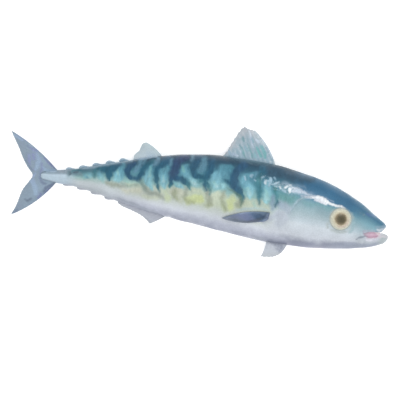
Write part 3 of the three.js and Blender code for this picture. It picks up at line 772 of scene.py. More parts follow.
mouth = {
    "upperLip": [
        (327, 2.2), (329.5, 4.1), (334, 5.2), (338.5, 5.8), (342.3, 6.6), (344.4, 8.9), (345.9, 11.2),
        (348, 15),
    ],
    "lowerLip": [
        (352, 1), (350, 3.3), (348.4, 4.9), (345.8, 5.6), (343.2, 5.7), (341.4, 3.8), (339, 1.1),
        (335.5, -0.1), (331, -0.3), (327, 2.2),
    ],
    "halfWidth": 12, "palateAt": (333, 2.4), "palate": (15, 6, 7.5),
}
gillEdgeAt = smoothThrough(*zip(*head["gillEdge"]))
innerCoverAt = smoothThrough(*zip(*head["innerCover"]))
upperLipLine = pathAt(mouth["upperLip"], np.linspace(0, 1, 41))
lowerLipLine = pathAt(mouth["lowerLip"], np.linspace(0, 1, 41))
lateralLineCurve = pathAt(body["lateralLine"], np.linspace(0, 1, 60))


def aheadOfGill(x, v):
    # millimetres in front of the gill cover's free edge
    low, high = head["gillEdge"][0][0], head["gillEdge"][-1][0]
    return (x - gillEdgeAt(np.clip(v, low, high))) * 0.9


def coverFade(v):
    low, high = head["gillEdge"][0][0], head["gillEdge"][-1][0]
    return easeBetween(low - 1, low + 3, v) * easeBetween(high + 1.5, high - 3, v)


def gillRelief(x, v):
    # the gill cover's free edge and that of the cover inside it, and the crease behind the first
    ahead = aheadOfGill(x, v)
    firm = coverFade(v) * (0.12 + 0.88 * easeBetween(5, 17, v))  # the edge lies closer to the body lower down
    plate = head["gillLift"] * easeBetween(-0.25, 0.35, ahead)
    plate = plate * np.exp(-np.clip(ahead, 0, 99) / head["gillSlope"])
    relief = firm * (plate - ridge(ahead + 0.7, *head["gillGap"]))
    low, high = head["innerCover"][0][0], head["innerCover"][-1][0]
    inner = (x - innerCoverAt(np.clip(v, low, high))) * 0.9
    step = head["innerLift"] * easeBetween(-1, 2, inner) * np.exp(-np.clip(inner, 0, 99) / head["innerSlope"])
    innerFade = easeBetween(-13.5, -9, v) * easeBetween(21, 16, v)
    relief = relief + innerFade * (step - ridge(inner, *head["innerGap"]))
    return relief, firm * ridge(ahead + 0.35, *head["gillShade"])


def reliefAt(x, v):
    # how far the skin stands off the plain flank, how much of that is a crease, and the eye's socket
    relief, crease = gillRelief(x, v)
    for width, depth, shade, path in head["creases"]:
        away = distanceTo(x, v, pathAt(path, np.linspace(0, 1, 25)))
        relief -= ridge(away, width, depth)
        crease += ridge(away, width, shade)
    lips = np.minimum(distanceTo(x, v, upperLipLine), distanceTo(x, v, lowerLipLine))
    relief += ridge(lips - 0.8, *head["lipRoll"]) * easeBetween(324, 330, x)
    for pitX, pitV, radius, depth in head["nostrils"]:
        away = np.hypot(x - pitX, v - pitV)
        relief += ridge(away - radius * 1.5, *head["nostrilRim"]) - ridge(away, radius, depth)
        crease += ridge(away, radius, 1)
    away = distanceTo(x, v, lateralLineCurve)
    relief += ridge(away, *body["lineRidge"]) - ridge(away - 1.1, *body["lineGroove"])
    fromEye = np.hypot(x - eye["x"], v - eye["v"])
    socket = easeBetween(eye["radius"] - 0.35, eye["radius"] - 1.5, fromEye)
    relief += ridge(fromEye - eye["radius"] - 0.6, *head["eyeRim"])
    # folds of loose skin, and the flesh's own slow swells
    relief += 0.12 * np.sin(x / 6.1 + v / 9) * np.sin(v / 5.3 - x / 17)
    relief += 0.08 * np.sin(x / 2.7 - v / 4) * np.sin(v / 3.1)
    vent = np.hypot((x - body["ventAt"]) / 1.6, (v - bellyAt(x) - 0.5) / 0.9)
    relief -= ridge(vent, *body["vent"])
    ends = easeBetween(flesh["end"] + 1, flesh["end"] + 6, x)
    ends = ends * easeBetween(flesh["length"] - 0.5, flesh["length"] - 5, x)
    return relief * ends, crease * ends, socket


skinMesh = {
    "around": 200, "tailRings": 9, "trunkRings": 255, "headRings": 158, "snoutRings": 18, "headFrom": 250,
}


def ringPositions():
    # x of each ring, closer together over the head
    tail, snout, count = flesh["roundTail"], flesh["roundSnout"], skinMesh
    start, finish = flesh["end"] + tail, flesh["length"] - snout
    tailTurn = np.linspace(0.12, 1, count["tailRings"])[:-1] * np.pi / 2
    snoutTurn = np.linspace(0, 0.97, count["snoutRings"]) * np.pi / 2
    return np.concatenate([
        flesh["end"] + tail * (1 - np.cos(tailTurn)),
        np.linspace(start, count["headFrom"], count["trunkRings"])[:-1],
        np.linspace(count["headFrom"], finish, count["headRings"])[:-1],
        flesh["length"] - snout * (1 - np.sin(snoutTurn)),
    ])


def skinGrid():
    x = np.repeat(ringPositions()[:, None], skinMesh["around"], 1)
    turn = np.arange(skinMesh["around"]) / skinMesh["around"] * 2 * np.pi
    c, s = np.cos(turn)[None, :], np.sin(turn)[None, :]
    centre, up, down, half = sectionAt(x)
    v = centre + c * np.where(c > 0, up, down)
    onKeel = np.exp(-(((x - flesh["keelAt"]) / flesh["keelLength"]) ** 2) - (c / flesh["keelSpread"]) ** 2)
    w = np.sign(s) * (half * np.abs(s) ** flesh["fullness"] + flesh["keelHeight"] * onKeel * (half > 0.5))
    return x, v, w


def outwardOf(points):
    # unit normals of a grid of rings, closed round each ring
    alongBody = np.gradient(points, axis=0)
    roundBody = np.roll(points, -1, 1) - np.roll(points, 1, 1)
    normal = np.cross(roundBody, alongBody)
    return normal / np.maximum(np.linalg.norm(normal, axis=-1, keepdims=True), 1e-12)


def buildSkin(materials):
    x, v, w = skinGrid()
    points = np.stack([x, v, riseAt(x) + w], -1)
    normal = outwardOf(points)
    outside = np.sign((normal * (points - points.mean(1, keepdims=True))).sum(-1).mean())
    relief, _, socket = reliefAt(x, v)
    points = points + outside * normal * relief[..., None]
    points[..., 2] -= np.sign(w) * socket * eye["socketDepth"]
    points[..., 2] = np.maximum(points[..., 2], 0)
    rings, around = x.shape
    poles = [points[0].mean(0) - (0.02, 0, 0), points[-1].mean(0) + (0.02, 0, 0)]
    faces = ringFaces(rings, around)
    for pole, ring in ((rings * around, 0), (rings * around + 1, (rings - 1) * around)):
        faces += [(pole, ring + (j + 1) % around, ring + j) for j in range(around)]
    return makePiece("skin", inMetres(np.concatenate([points.reshape(-1, 3), poles])), faces, materials)


def buildMouthCutter(material):
    # the open mouth right across the head
    outline = np.concatenate([upperLipLine, lowerLipLine[1:-1]])
    rise = float(riseAt(335))
    ends = [rise - mouth["halfWidth"], rise + mouth["halfWidth"]]
    points = np.concatenate([np.column_stack([outline, np.full(len(outline), end)]) for end in ends])
    return makePiece("mouthCutter", inMetres(points), closedRings(2, len(outline)), [material], smooth=False)


def buildPalateCutter(material):
    # the hollow of palate and jaw inside it
    x, v = mouth["palateAt"]
    bpy.ops.mesh.primitive_uv_sphere_add(segments=40, ring_count=24)
    hollow = bpy.context.object
    hollow.name = "palateCutter"
    ball = np.array([tuple(point.co) for point in hollow.data.vertices])
    co = inMetres(ball * mouth["palate"] + (x, v, float(riseAt(x))))
    hollow.data.vertices.foreach_set("co", co.ravel())
    hollow.data.materials.append(material)
    return hollow


def carve(piece, cutter):
    cut = piece.modifiers.new("cut", "BOOLEAN")
    cut.operation = "DIFFERENCE"
    cut.solver = "EXACT"
    cut.material_mode = "TRANSFER"
    cut.object = cutter
    bpy.context.view_layer.objects.active = piece
    bpy.ops.object.modifier_apply(modifier=cut.name)
    bpy.data.objects.remove(cutter)


# the pale strip of skin over the back that the back fins grow out of
footStrip = {
    "middle": 216, "reach": 26, "edge": 1.4, "swell": 3,  # at the first one, and half widths there
    "rear": 180, "rearX": [60, 105, 120], "rearHalf": [9, 7, 5],
}
hiddenBands = {
    "within": 7, "shift": 5, "wave": 13, "slowShift": 4, "slowWave": 31, "rise": 1.2, "riseWave": 9,
}
underJaw = [(285, -13), (303, -9.2), (311, -7.4), (320, -6.2), (326, -6.6), (334, -5.8), (345, -1)]


def mouthFrontAt(x, v):
    return x + 1.6 * (v - 3.3)


def paintFields(piece):
    # writes the pattern's fields on the skin, from where each point lies on the fish
    mesh = piece.data
    co = np.zeros(len(mesh.vertices) * 3)
    mesh.vertices.foreach_get("co", co)
    co = co.reshape(-1, 3) / mm
    x, v = co[:, 0] + halfLength, co[:, 1] + middleLine
    w = co[:, 2] - riseAt(x)
    # the hidden flank has bands of its own, which run into the others over the back
    far = hiddenBands
    hidden = np.clip(-w / far["within"], 0, 1)
    slow = far["slowShift"] * np.sin(x / far["slowWave"] + 1)
    bandX = x + hidden * (far["shift"] * np.sin(x / far["wave"]) + slow)
    bandV = v + hidden * far["rise"] * np.sin(x / far["riseWave"])
    fields = {
        "alongFish": x,
        "upShare": np.clip((v - bellyAt(x)) / (backAt(x) - bellyAt(x)), 0, 1),
        "aheadOfGill": aheadOfGill(x, v),
        "crease": np.clip(reliefAt(x, v)[1], 0, 1),
        "fromEye": np.hypot(x - eye["x"], v - eye["v"]) - eye["radius"],
        "upperLip": distanceTo(x, v, upperLipLine),
        "lowerLip": distanceTo(x, v, lowerLipLine),
        "mouthFront": mouthFrontAt(x, v),
        "underJaw": v - np.interp(x, *zip(*underJaw)),
    }
    for key, layer in skinMarks.items():
        ownX, ownV = (bandX, bandV) if key in bandKeys else (x, v)
        fields[key + "Edge"], fields[key + "Tint"] = strokeField(ownX, ownV, layer)
    # the pale skin at the feet of the fins is only a narrow strip over the back
    strip = footStrip
    taper = np.sqrt(np.clip(1 - ((x - strip["middle"]) / strip["reach"]) ** 2, 0, 1))
    fields["footGlow"] = np.maximum(fields["feetEdge"], 0.45 * np.abs(w) + 1 - 4.2 * taper)
    rearHalf = np.interp(x, strip["rearX"], strip["rearHalf"])
    half = np.where(x < strip["rear"], rearHalf, strip["edge"] + strip["swell"] * taper)
    half = half + 0.5 * np.sin(x / 3.1)
    fields["feetEdge"] = np.maximum(fields["feetEdge"], 0.9 * (np.abs(w) - half))
    addFields(mesh, fields)


# (place up the flank from belly to back, red, green, blue) for each stretch of the fish; the dark stops at
# the belly's edge are partly painted shade, and the stalk's pale middle partly a painted highlight on its
# round end
skinTones = {
    "stalk": [
        (0, 176, 192, 208), (0.2, 192, 212, 226), (0.6, 196, 216, 230), (0.75, 154, 172, 187),
        (1, 130, 148, 162),
    ],
    "tail": [
        (0, 166, 174, 184), (0.1, 188, 197, 204), (0.2, 203, 212, 218), (0.32, 204, 215, 219),
        (0.42, 180, 202, 201), (0.52, 156, 190, 190), (0.62, 124, 168, 171), (0.76, 94, 138, 150),
        (0.9, 84, 118, 136), (1, 102, 138, 156),
    ],
    "body": [
        (0, 146, 152, 172), (0.04, 170, 176, 193), (0.09, 195, 201, 216), (0.16, 216, 223, 232),
        (0.24, 209, 218, 216), (0.32, 201, 211, 204), (0.42, 194, 208, 194), (0.52, 148, 188, 187),
        (0.64, 104, 157, 172), (0.76, 80, 132, 152), (0.86, 61, 99, 120), (0.93, 49, 81, 102),
        (1, 47, 79, 98),
    ],
    "head": [
        (0, 140, 145, 168), (0.06, 153, 159, 177), (0.15, 215, 222, 232), (0.3, 219, 229, 237),
        (0.36, 205, 219, 228), (0.44, 184, 204, 212), (0.53, 162, 189, 198), (0.62, 140, 174, 186),
        (0.68, 106, 151, 173), (0.75, 75, 122, 154), (0.88, 65, 111, 144), (1, 68, 114, 144),
    ],
    "snout": [
        (0, 160, 170, 184), (0.18, 199, 207, 216), (0.36, 191, 209, 219), (0.5, 152, 184, 196),
        (0.62, 132, 174, 188), (0.74, 106, 150, 168), (0.88, 74, 120, 148), (1, 80, 126, 152),
    ],
}
# dark specks, and pale painted glints, within the glint zone
glintFlecks = [
    # scale, stretch, turn, shift, where the noise is full, strength, red, green, blue
    (700, 0.8, 0.4, 2.0, 0.64, 0.7, 72, 108, 124),
    (620, 0.7, 0.9, 6.0, 0.66, 0.45, 176, 202, 218),
]


def makeSkinMaterial():
    material, tree, shader = newMaterial("fishSkin", specular=0.18, coatRoughness=0.16)
    share, along = field(tree, "upShare"), field(tree, "alongFish")
    brush = cloudOf(tree, 1.0, detail=4, roughness=0.6, stretch=(420, 110, 260), turn=0.22)
    mottle = cloudOf(tree, 170, detail=4, roughness=0.55, shift=3.0)
    wobble = cloudOf(tree, 380, detail=3, roughness=0.6, shift=1.0)
    flecks = cloudOf(tree, 620, detail=2, roughness=0.7, shift=5.0)
    grains = {"brush": brush, "wobble": wobble, "flecks": flecks}
    uneven = remap(tree, mottle, 0.35, 0.65, 0.9, 2.6)  # some edges of the bands are crisp and others are not

    def mask(key, low, high, toLow=0.0, toHigh=1.0):
        return remap(tree, field(tree, key), low, high, toLow, toHigh)

    def lay(colour, *keys):
        for key in keys:
            layer = skinMarks[key]
            colour = layMarks(tree, colour, key, layer, grains[layer["grain"]], brush, uneven)
        return colour

    # the plain colours, each running into the next along the fish
    drifted = nudged(tree, share, mottle, 0.08)
    colour = rampOf(tree, drifted, skinTones["stalk"])
    for key, change in (
        ("tail", remap(tree, along, 52, 70)), ("body", remap(tree, along, 84, 128)),
        ("head", mask("aheadOfGill", -20.0, -7.0)), ("snout", remap(tree, along, 308, 330)),
    ):
        colour = mixInk(tree, change, colour, rampOf(tree, drifted, skinTones[key]))

    colour = lay(colour, "haze", "shoulder", "bellyShade", "sallow", "light", "mint", "olive", "dark", "spot")
    colour = lay(colour, "green", "finRim", "nape", "cheek", "stalk")
    # a paler teal round the feet of the fins, partly painted light that lifts the shade on the ridge
    footGlow = remap(tree, nudged(tree, field(tree, "footGlow"), wobble, 3.0), 2.8, -0.8)
    colour = washed(tree, colour, footGlow, 0.62, 126, 155, 170)
    colour = lay(colour, "feet")

    # the shadow in creases, and the pale line along the gill cover's edge
    colour = washed(tree, colour, field(tree, "crease"), 0.25, 124, 142, 158)
    colour = lay(colour, "gillLine")

    # under the jaw, the lips, dark specks and painted shade at the corner of the mouth, painted glints on the
    # jaw and painted shadow below the eye
    jaw = times(tree, mask("underJaw", 1.2, -1.6), remap(tree, along, 292, 306))
    colour = washed(tree, colour, jaw, 0.75, 160, 168, 186)
    lowerLip = times(tree, mask("lowerLip", 4.2, 1.4), remap(tree, along, 325, 331))
    lowerLip = times(tree, lowerLip, remap(tree, along, 346, 339, 0.35, 1.0))
    colour = washed(tree, colour, lowerLip, 0.85, 212, 214, 227)
    jawTip = times(tree, remap(tree, along, 339, 345), remap(tree, share, 0.62, 0.5))
    colour = washed(tree, colour, jawTip, 0.75, 178, 189, 191)
    upperLip = times(tree, mask("upperLip", 2.2, 0.5), remap(tree, along, 330, 340))
    colour = washed(tree, colour, upperLip, 0.75, 156, 171, 187)
    colour = lay(colour, "snout", "lipBlush", "mouthCrease", "jawGlint", "eyeShade")

    # silver behind the eye with its painted highlight, a painted lilac sheen beside it, and painted
    # highlights broken into glitter on the shoulder
    colour = lay(colour, "streak", "lilac")
    inGlints = mask("glintEdge", 1.5, -1.5)
    for scale, stretch, turn, shift, full, strength, *tone in glintFlecks:
        specks = cloudOf(tree, scale, detail=2, stretch=(stretch, 0.5, 1), turn=turn, shift=shift)
        specks = times(tree, remap(tree, specks, 0.56, full), inGlints)
        colour = washed(tree, colour, specks, strength, *tone)
    colour = lay(colour, "glitter")
    # painted shade in a ring round the eye's socket, then the pale lid at its edge, lighter to lift the
    # socket's shade
    colour = washed(tree, colour, mask("fromEye", 2.4, 0.0), 0.45, 176, 190, 190)
    colour = washed(tree, colour, mask("fromEye", 0.7, -0.5), 0.9, 200, 204, 198)

    scales = useGroup(tree, fineScales, {"Size": 800.0, "Lie": 1.5})
    colour = shaded(tree, colour, scales["Shade"], 0.06)
    colour = shaded(tree, colour, cloudOf(tree, 45, detail=2, shift=7.0), 0.22)
    film = useGroup(tree, wetFilm, {"Dry": 0.46, "Wet": 0.28, "Patch Size": 55.0})
    grain = cloudOf(tree, 900, detail=3, shift=9.0)
    height = maths(tree, "ADD", times(tree, scales["Height"], 0.7), times(tree, grain, 0.5))
    finishShader(tree, shader, colour, film, height, 0.2, 0.00012)
    tree.links.new(remap(tree, share, 0.62, 0.3, 0.0, 0.12), shader.inputs["Metallic"])
    return material


def makeMouthMaterial():
    material, tree, shader = newMaterial("mouthFlesh", specular=0.5, coatRoughness=0.08)
    patches = cloudOf(tree, 260, detail=4)
    along = nudged(tree, field(tree, "alongFish"), patches, 3.0)
    colour = rampOf(tree, patches, [(0.3, 204, 176, 194), (0.5, 212, 182, 200), (0.7, 221, 194, 210)])
    colour = mixInk(tree, remap(tree, along, 333.5, 328), colour, ink(192, 180, 194))
    colour = mixInk(tree, remap(tree, field(tree, "mouthFront"), 339.2, 341.4), colour, ink(230, 217, 223))
    film = useGroup(tree, wetFilm, {"Dry": 0.35, "Wet": 0.18, "Patch Size": 120.0})
    # the base colour at half, and the glow carries the rest as painted light
    deep = shaded(tree, colour, 0.0, 0.5)
    finishShader(tree, shader, deep, film, cloudOf(tree, 1400, detail=3), 0.4, 0.0002)
    tree.links.new(colour, shader.inputs["Emission Color"])
    shader.inputs["Emission Strength"].default_value = 0.72  # the flesh glows: painted light that lifts the shade inside the mouth
    return material


skinMaterial = makeSkinMaterial()
mouthMaterial = makeMouthMaterial()
skin = buildSkin([skinMaterial, mouthMaterial])
carve(skin, buildMouthCutter(mouthMaterial))
carve(skin, buildPalateCutter(mouthMaterial))
paintFields(skin)
settle(skin, "skin", "fish")
print("skin", len(skin.data.polygons), "faces")

tongue = {
    "x": 330.3, "v": 2.2, "length": 15.2, "height": 4.0, "half": 8.2, "tipLift": 3.6,
    "rings": 48, "around": 56,
}


def buildTongue(material):
    share = np.linspace(0.001, 0.999, tongue["rings"])[:, None]
    turn = np.linspace(0, 2 * np.pi, tongue["around"], endpoint=False)[None, :]
    girth = np.sin(np.pi * share ** 0.9) ** 0.5
    x = tongue["x"] + tongue["length"] * (2 * share - 1) + 0 * turn
    lift = tongue["tipLift"] * (share - 0.5)
    v = tongue["v"] + lift + tongue["height"] * girth * np.sin(turn) * (1 - 0.25 * (np.sin(turn) < 0))
    w = tongue["half"] * girth * np.cos(turn)
    v = v - 0.5 * girth * ridge(w, 0.9, 1) * (np.sin(turn) > 0)  # the furrow down its middle
    fields = {"alongFish": x, "mouthFront": mouthFrontAt(x, v)}
    return makePiece("tongue", toFrame(x, v, w), closedRings(*x.shape), [material], fields)


settle(buildTongue(mouthMaterial), "skin")


def makeEyeMaterial():
    material, tree, shader = newMaterial("eyeball", specular=0.3, coatRoughness=0.3)
    radius = field(tree, "fromCentre")
    ragged = nudged(tree, radius, cloudOf(tree, 420, detail=3), 1.5)
    colour = rampOf(tree, maths(tree, "DIVIDE", ragged, 10.0), eye["irisTones"])
    offRing = maths(tree, "ABSOLUTE", maths(tree, "SUBTRACT", radius, eye["blushAt"]))
    blush = times(tree, remap(tree, field(tree, "blush"), 0.1, 1.0), remap(tree, offRing, 1.7, 0.3))
    colour = washed(tree, colour, blush, 0.75, *eye["blush"])
    streaks = cloudOf(tree, 700, detail=4, shift=2.0)
    tree.links.new(shaded(tree, colour, streaks, 0.4), shader.inputs["Base Color"])
    tree.links.new(remap(tree, radius, 5.0, 6.5, 0.3, 0.42), shader.inputs["Roughness"])
    shader.inputs["Coat Weight"].default_value = 0.35
    addRelief(tree, shader, streaks, 0.15, 0.0002)
    return material


def buildEye(name, side, material, around=96):
    radii = np.concatenate([np.linspace(0.15, eye["rim"], 40), np.linspace(eye["rim"], eye["radius"], 9)[1:]])
    frontRings = len(radii)
    radii = np.concatenate([radii, radii[::-1][1:]])
    inFront = (np.arange(len(radii)) < frontRings)[:, None]
    turn = np.linspace(0, 2 * np.pi, around, endpoint=False)
    r = radii[:, None] + 0 * turn[None, :]
    dome = eye["bulge"] * np.sqrt(np.clip(1 - (r / eye["radius"]) ** 2, 0, 1))
    lens = eye["lens"] * np.sqrt(np.clip(1 - (r / eye["pupil"]) ** 2, 0, 1))
    dip = ridge(r - eye["pupil"] - 0.4, 0.8, eye["irisDip"])
    ahead, up = r * np.cos(turn), r * np.sin(turn)
    out = np.where(inFront, dome + lens - dip, -dome) * side
    # turned about v so that the eye lies in the narrowing head
    a = side * eye["turn"]
    x = eye["x"] + ahead * math.cos(a) + out * math.sin(a)
    seat = side * (float(flankAt(np.float64(eye["x"]), eye["v"])) - eye["sunk"])
    z = float(riseAt(eye["x"])) + seat + out * math.cos(a) - ahead * math.sin(a)
    points = inMetres(np.stack([x, up + eye["v"], z], -1))
    fields = {"fromCentre": r, "blush": np.cos(turn[None, :] + 0.9) + 0 * r}
    return makePiece(name, points, closedRings(*r.shape), [material], fields)


eyeMaterial = makeEyeMaterial()
for side, pieceName, nodeName in ((1, "eyeballRight", "eye_right"), (-1, "eyeballLeft", "eye_left")):
    settle(buildEye(pieceName, side, eyeMaterial), "eye", nodeName)
print("eyes and tongue ready")

# A fin's rays run from root to tip, and the first one is nearest the head. Where a value has two
# numbers, the first is at the first ray or the root, and the second at the last ray or the tip.
firstDorsal = {
    "rays": 11, "columns": 132, "rows": 44, "root": (239.8, 191.2), "sink": 2.5,
    "tips": [
        (215.2, 77), (211.2, 77.2), (208, 77.8), (205.3, 78.8), (202.1, 74.6), (198.8, 67.4), (196.2, 61),
        (193.9, 55), (191.1, 50.5),
    ],
    "bow": (2.8, 0.3), "thickness": (1.5, 0.35), "ridge": 0.55, "scallop": 0.7, "sway": 1.3, "droop": 3.5,
}
secondDorsal = {
    "rays": 12, "columns": 96, "rows": 30, "root": (138.4, 112.4), "sink": 2,
    "tips": [(120.8, 49.6), (118, 48), (116.8, 44.5), (116, 41.2), (113.8, 38.7), (112.2, 36.2)],
    "bow": (1.5, 0), "thickness": (1.2, 0.3), "ridge": 0.4, "scallop": 0.35, "sway": 0.6, "droop": 1.5,
}
analFin = {
    "rays": 12, "columns": 96, "rows": 30, "root": (151, 106), "sink": 2,
    "tips": [(136.6, -22), (133, -19.1), (128.6, -16.4), (121.5, -13.9), (114.5, -12.1), (109, -10.8)],
    "bow": (-0.5, 0), "thickness": (1.2, 0.3), "ridge": 0.4, "scallop": 0.35, "sway": -0.5, "droop": 1.2,
}
tailFin = {
    "rays": 34, "columns": 272, "rows": 60, "root": [(47.4, 0), (46.9, 10.6)],
    "tips": [
        (13.6, -34.8), (12.2, -34.8), (14.2, -30), (16, -23.8), (18.4, -12), (22.5, -4), (25.1, 2.8),
        (19.5, 9.2), (14, 16.4), (9, 24.8), (0.1, 37.8), (1.2, 38.4),
    ],
    "bow": (-2.9, 2.2), "thickness": (2.0, 0.35), "ridge": 0.45, "scallop": 0.25, "sway": 0.5, "droop": 0.5,
}
pectoralFin = {
    "rays": 16, "columns": 128, "rows": 70, "root": [(241.2, 6.5), (240.7, 0.6)],
    "tips": [(199.5, -5.9), (205.4, -6.9), (213.4, -7.1), (223.4, -6), (234.4, -3)],
    "bow": (3.0, -0.8), "stand": (1.9, 1.2), "scallop": 0.35, "ridge": 0.35, "bury": 0.2,
}
pelvicFin = {
    "rays": 6, "columns": 72, "rows": 36, "root": [(262, -16.6), (242.4, -16.8)],
    "tips": [(257, -27.8), (252.8, -31.2), (247.2, -33), (239.9, -33.8)],
    "bow": (-0.6, -1.1), "thickness": (1.5, 0.35), "ridge": 0.5, "scallop": 0.4, "apart": 3.2, "splay": 4.5,
}
finlets = {
    "count": 5, "length": 8.8, "sink": 1.5,
    "Above": {"first": 53.7, "gap": 11.5, "height": (2.1, 2.8), "side": 1},
    "Below": {"first": 53.5, "gap": 12.9, "height": (1.3, 2.0), "side": -1},
    # the free edge from front to rear, as shares of the length and of the height
    "edge": [(0.96, 0.15), (0.68, 0.52), (0.42, 0.95), (0.16, 0.98), (-0.01, 0.42)],
    "shape": {
        "rays": 5, "columns": 40, "rows": 18, "bow": (0, 0), "thickness": (1.3, 0.3), "ridge": 0.4,
        "scallop": 0.12, "droop": 0.2,
    },
}
# marks on the fins, from slate through grey blue, violet and lilac to light blue
tailMarks = {
    "tints": [(118, 133, 151), (130, 146, 170), (142, 151, 188), (150, 166, 200), (163, 187, 209)],
    "soft": 1.1, "strength": 0.9, "ripple": 1.6, "brushing": 0.2, "wander": 0.5,
    "strokes": [
        (1, 0.9, [(1.2, 36.6, 0.6), (6.7, 33.9, 1), (11.2, 31.6, 0.8)]),
        (0.6, 0.7, [(5, 36.2, 0.5), (10, 34.6, 0.8), (14.4, 32.4, 0.8)]),
        (0.2, [(16.4, 28.8, 0.7), (17.6, 27.2, 0.7)]),
        (0.55, 0.65, [(19.6, 27, 1.1), (23, 26, 1.4), (26, 24.2, 1.2)]),
        (0.7, 0.6, [(18.6, 20, 1), (20.2, 16, 1.3), (21.6, 12.4, 1)]),
        (0.5, [(22.4, 21.5, 1.2), (23.6, 17.6, 1)]),
        (0.05, 0.1, [(17.8, 14.8, 0.6), (21.2, 10.8, 1.1), (24.3, 7.3, 0.8)]),
        (0.9, 1, [(25, 22, 0.9), (27.4, 18, 1.8), (28.6, 13, 2.1), (27.2, 8, 1.5)]),
        (0.9, 0.8, [(26.8, 4.4, 0.9), (25.8, 0.8, 1.2)]),
        (0.5, 0.6, [(33, 19.4, 0.9), (38.6, 15.8, 1.3), (44.6, 12.8, 1.1)]),
        (1, [(33.4, 11, 1.2), (38.6, 8.6, 2), (44, 9.6, 1.9)]),
        (0.4, 0.2, [(31.5, 14, 0.7), (32.8, 8.7, 0.7), (31.2, 3, 0.7), (33.7, -1.5, 1.1),
            (38.4, -2.3, 0.9)]),
        (0.9, 1, [(26.7, -3.3, 2.3), (29.4, -8.3, 2.7), (30.7, -13.6, 1.8)]),
        (0.35, 0.1, [(43.9, -2.5, 0.7), (40.2, -5.5, 1), (37.8, -9.6, 1.2)]),
        (0.5, [(45, -5, 0.8), (41.6, -8, 1), (38, -11, 1)]),
        (0.5, 0.55, [(35, -12.4, 1.3), (33.9, -16.3, 1)]),
        (0, [(22.6, -19.4, 0.8), (25.1, -20.8, 1.2), (27.8, -18.8, 0.9)]),
        (0.2, [(17.7, -30.1, 0.8), (13.7, -33.4, 0.6)]),
    ],
}
# from dull teal through green and lilac to nearly white; the palest strokes are painted highlights, and the
# pale stroke along the front edge is partly painted light against the shade on its rim
dorsalMarks = {
    "tints": [(134, 160, 171), (122, 181, 184), (170, 190, 210), (214, 226, 236)],
    "soft": 0.7, "strength": 0.9, "ripple": 1.6, "brushing": 0.2, "wander": 0.35,
    "strokes": [
        (0.4, 0.35, [(223.5, 64.2, 1.3), (225.9, 60.9, 1.7), (227.8, 57.2, 1.7), (228, 54.2, 1.1)]),
        (0.3, 0.35, [(219.4, 62.5, 0.9), (221.8, 59.3, 1.3), (224.3, 55.2, 1.3)]),
        (0, 0.1, [(210.9, 64, 0.5), (212.8, 60.5, 0.8), (215.4, 56.4, 0.9), (217.2, 53, 0.7)]),
        (0.05, 0.1, [(205.7, 68.9, 0.9), (207.7, 65.9, 0.7)]),
        (0, 0.1, [(204, 61.7, 0.6), (207.6, 57.3, 0.7), (210.1, 53.1, 0.7), (212.5, 49.9, 0.5)]),
        (0.1, [(214, 68.5, 0.7), (215.8, 66.5, 0.5)]), (1, [(205.5, 56.6, 0.5), (206.9, 54.7, 0.5)]),
        (0.95, [(210.3, 75, 0.9), (212.1, 70.9, 1), (215, 65.4, 1), (217.2, 61.8, 0.5)]),
        (0.9, 0.85, [(217.7, 68.8, 1.2), (220.7, 67.3, 1.1)]),
        (0.65, [(209.5, 60.8, 0.8), (211.5, 57.5, 0.6)]), (0.7, 0.8, [(200.5, 53, 1.4), (204.3, 52, 1)]),
        (0.85, 0.9, [(223.6, 70.6, 0.7), (228, 66.2, 0.8), (231.7, 61.1, 0.8), (234.6, 55.6, 0.7)]),
        (0.6, [(196.1, 53.9, 1.4), (199.4, 50.8, 1.1)]),
        (0.5, 0.55, [(217.9, 57.7, 0.7), (220.1, 53.2, 0.9)]),
    ],
}
# from a dark edge to light violet
pectoralMarks = {
    "tints": [(108, 118, 131), (118, 140, 162), (162, 176, 202)],
    "soft": 1.3, "strength": 0.9, "ripple": 1.6, "brushing": 0.2, "wander": 0.4,
    "strokes": [
        (0.9, 1, [(211.7, 1.6, 1.3), (217.3, 3.1, 1.6), (220.9, 3.4, 0.9)]),
        (0.75, 0.55, [(220, 3.8, 1), (228.6, 4.8, 1.3), (236, 5.4, 1.6)]),
        (0.9, 0.85, [(236.4, -1, 0.9), (239.4, 0.8, 1.8), (240, 4.8, 1.5)]),
        (0, [(206.1, -5.4, 0.4), (216.2, -5.8, 0.8), (226.8, -3.9, 1.1), (235.2, -0.3, 0.9)]),
    ],
}
# the dark marks are painted shade at the pelvic fins' roots and the pale one a painted highlight; the darker
# root in the pelvic fin's colours is painted shade too
pelvicMarks = {
    "tints": [(160, 167, 183), (215, 220, 230)],
    "soft": 1.6, "strength": 0.9, "ripple": 1.6, "brushing": 0.2, "wander": 0.3,
    "strokes": [
        (0, [(245.9, -18.5, 2), (252.4, -19.6, 3.2), (257, -22, 2.4)]),
        (0, [(251.4, -24.2, 1), (255, -25, 1.6)]), (1, [(245.4, -21.6, 0.6), (252, -26, 0.8)]),
    ],
}


def alongRoot(line, start, finish, sink):
    def foot(along):
        x = start + (finish - start) * along
        return np.stack([x, line(x) - sink], -1)

    return foot


def betweenRoots(a, b):
    a, b = np.array(a), np.array(b)
    return lambda along: a + (b - a) * np.asarray(along)[..., None]


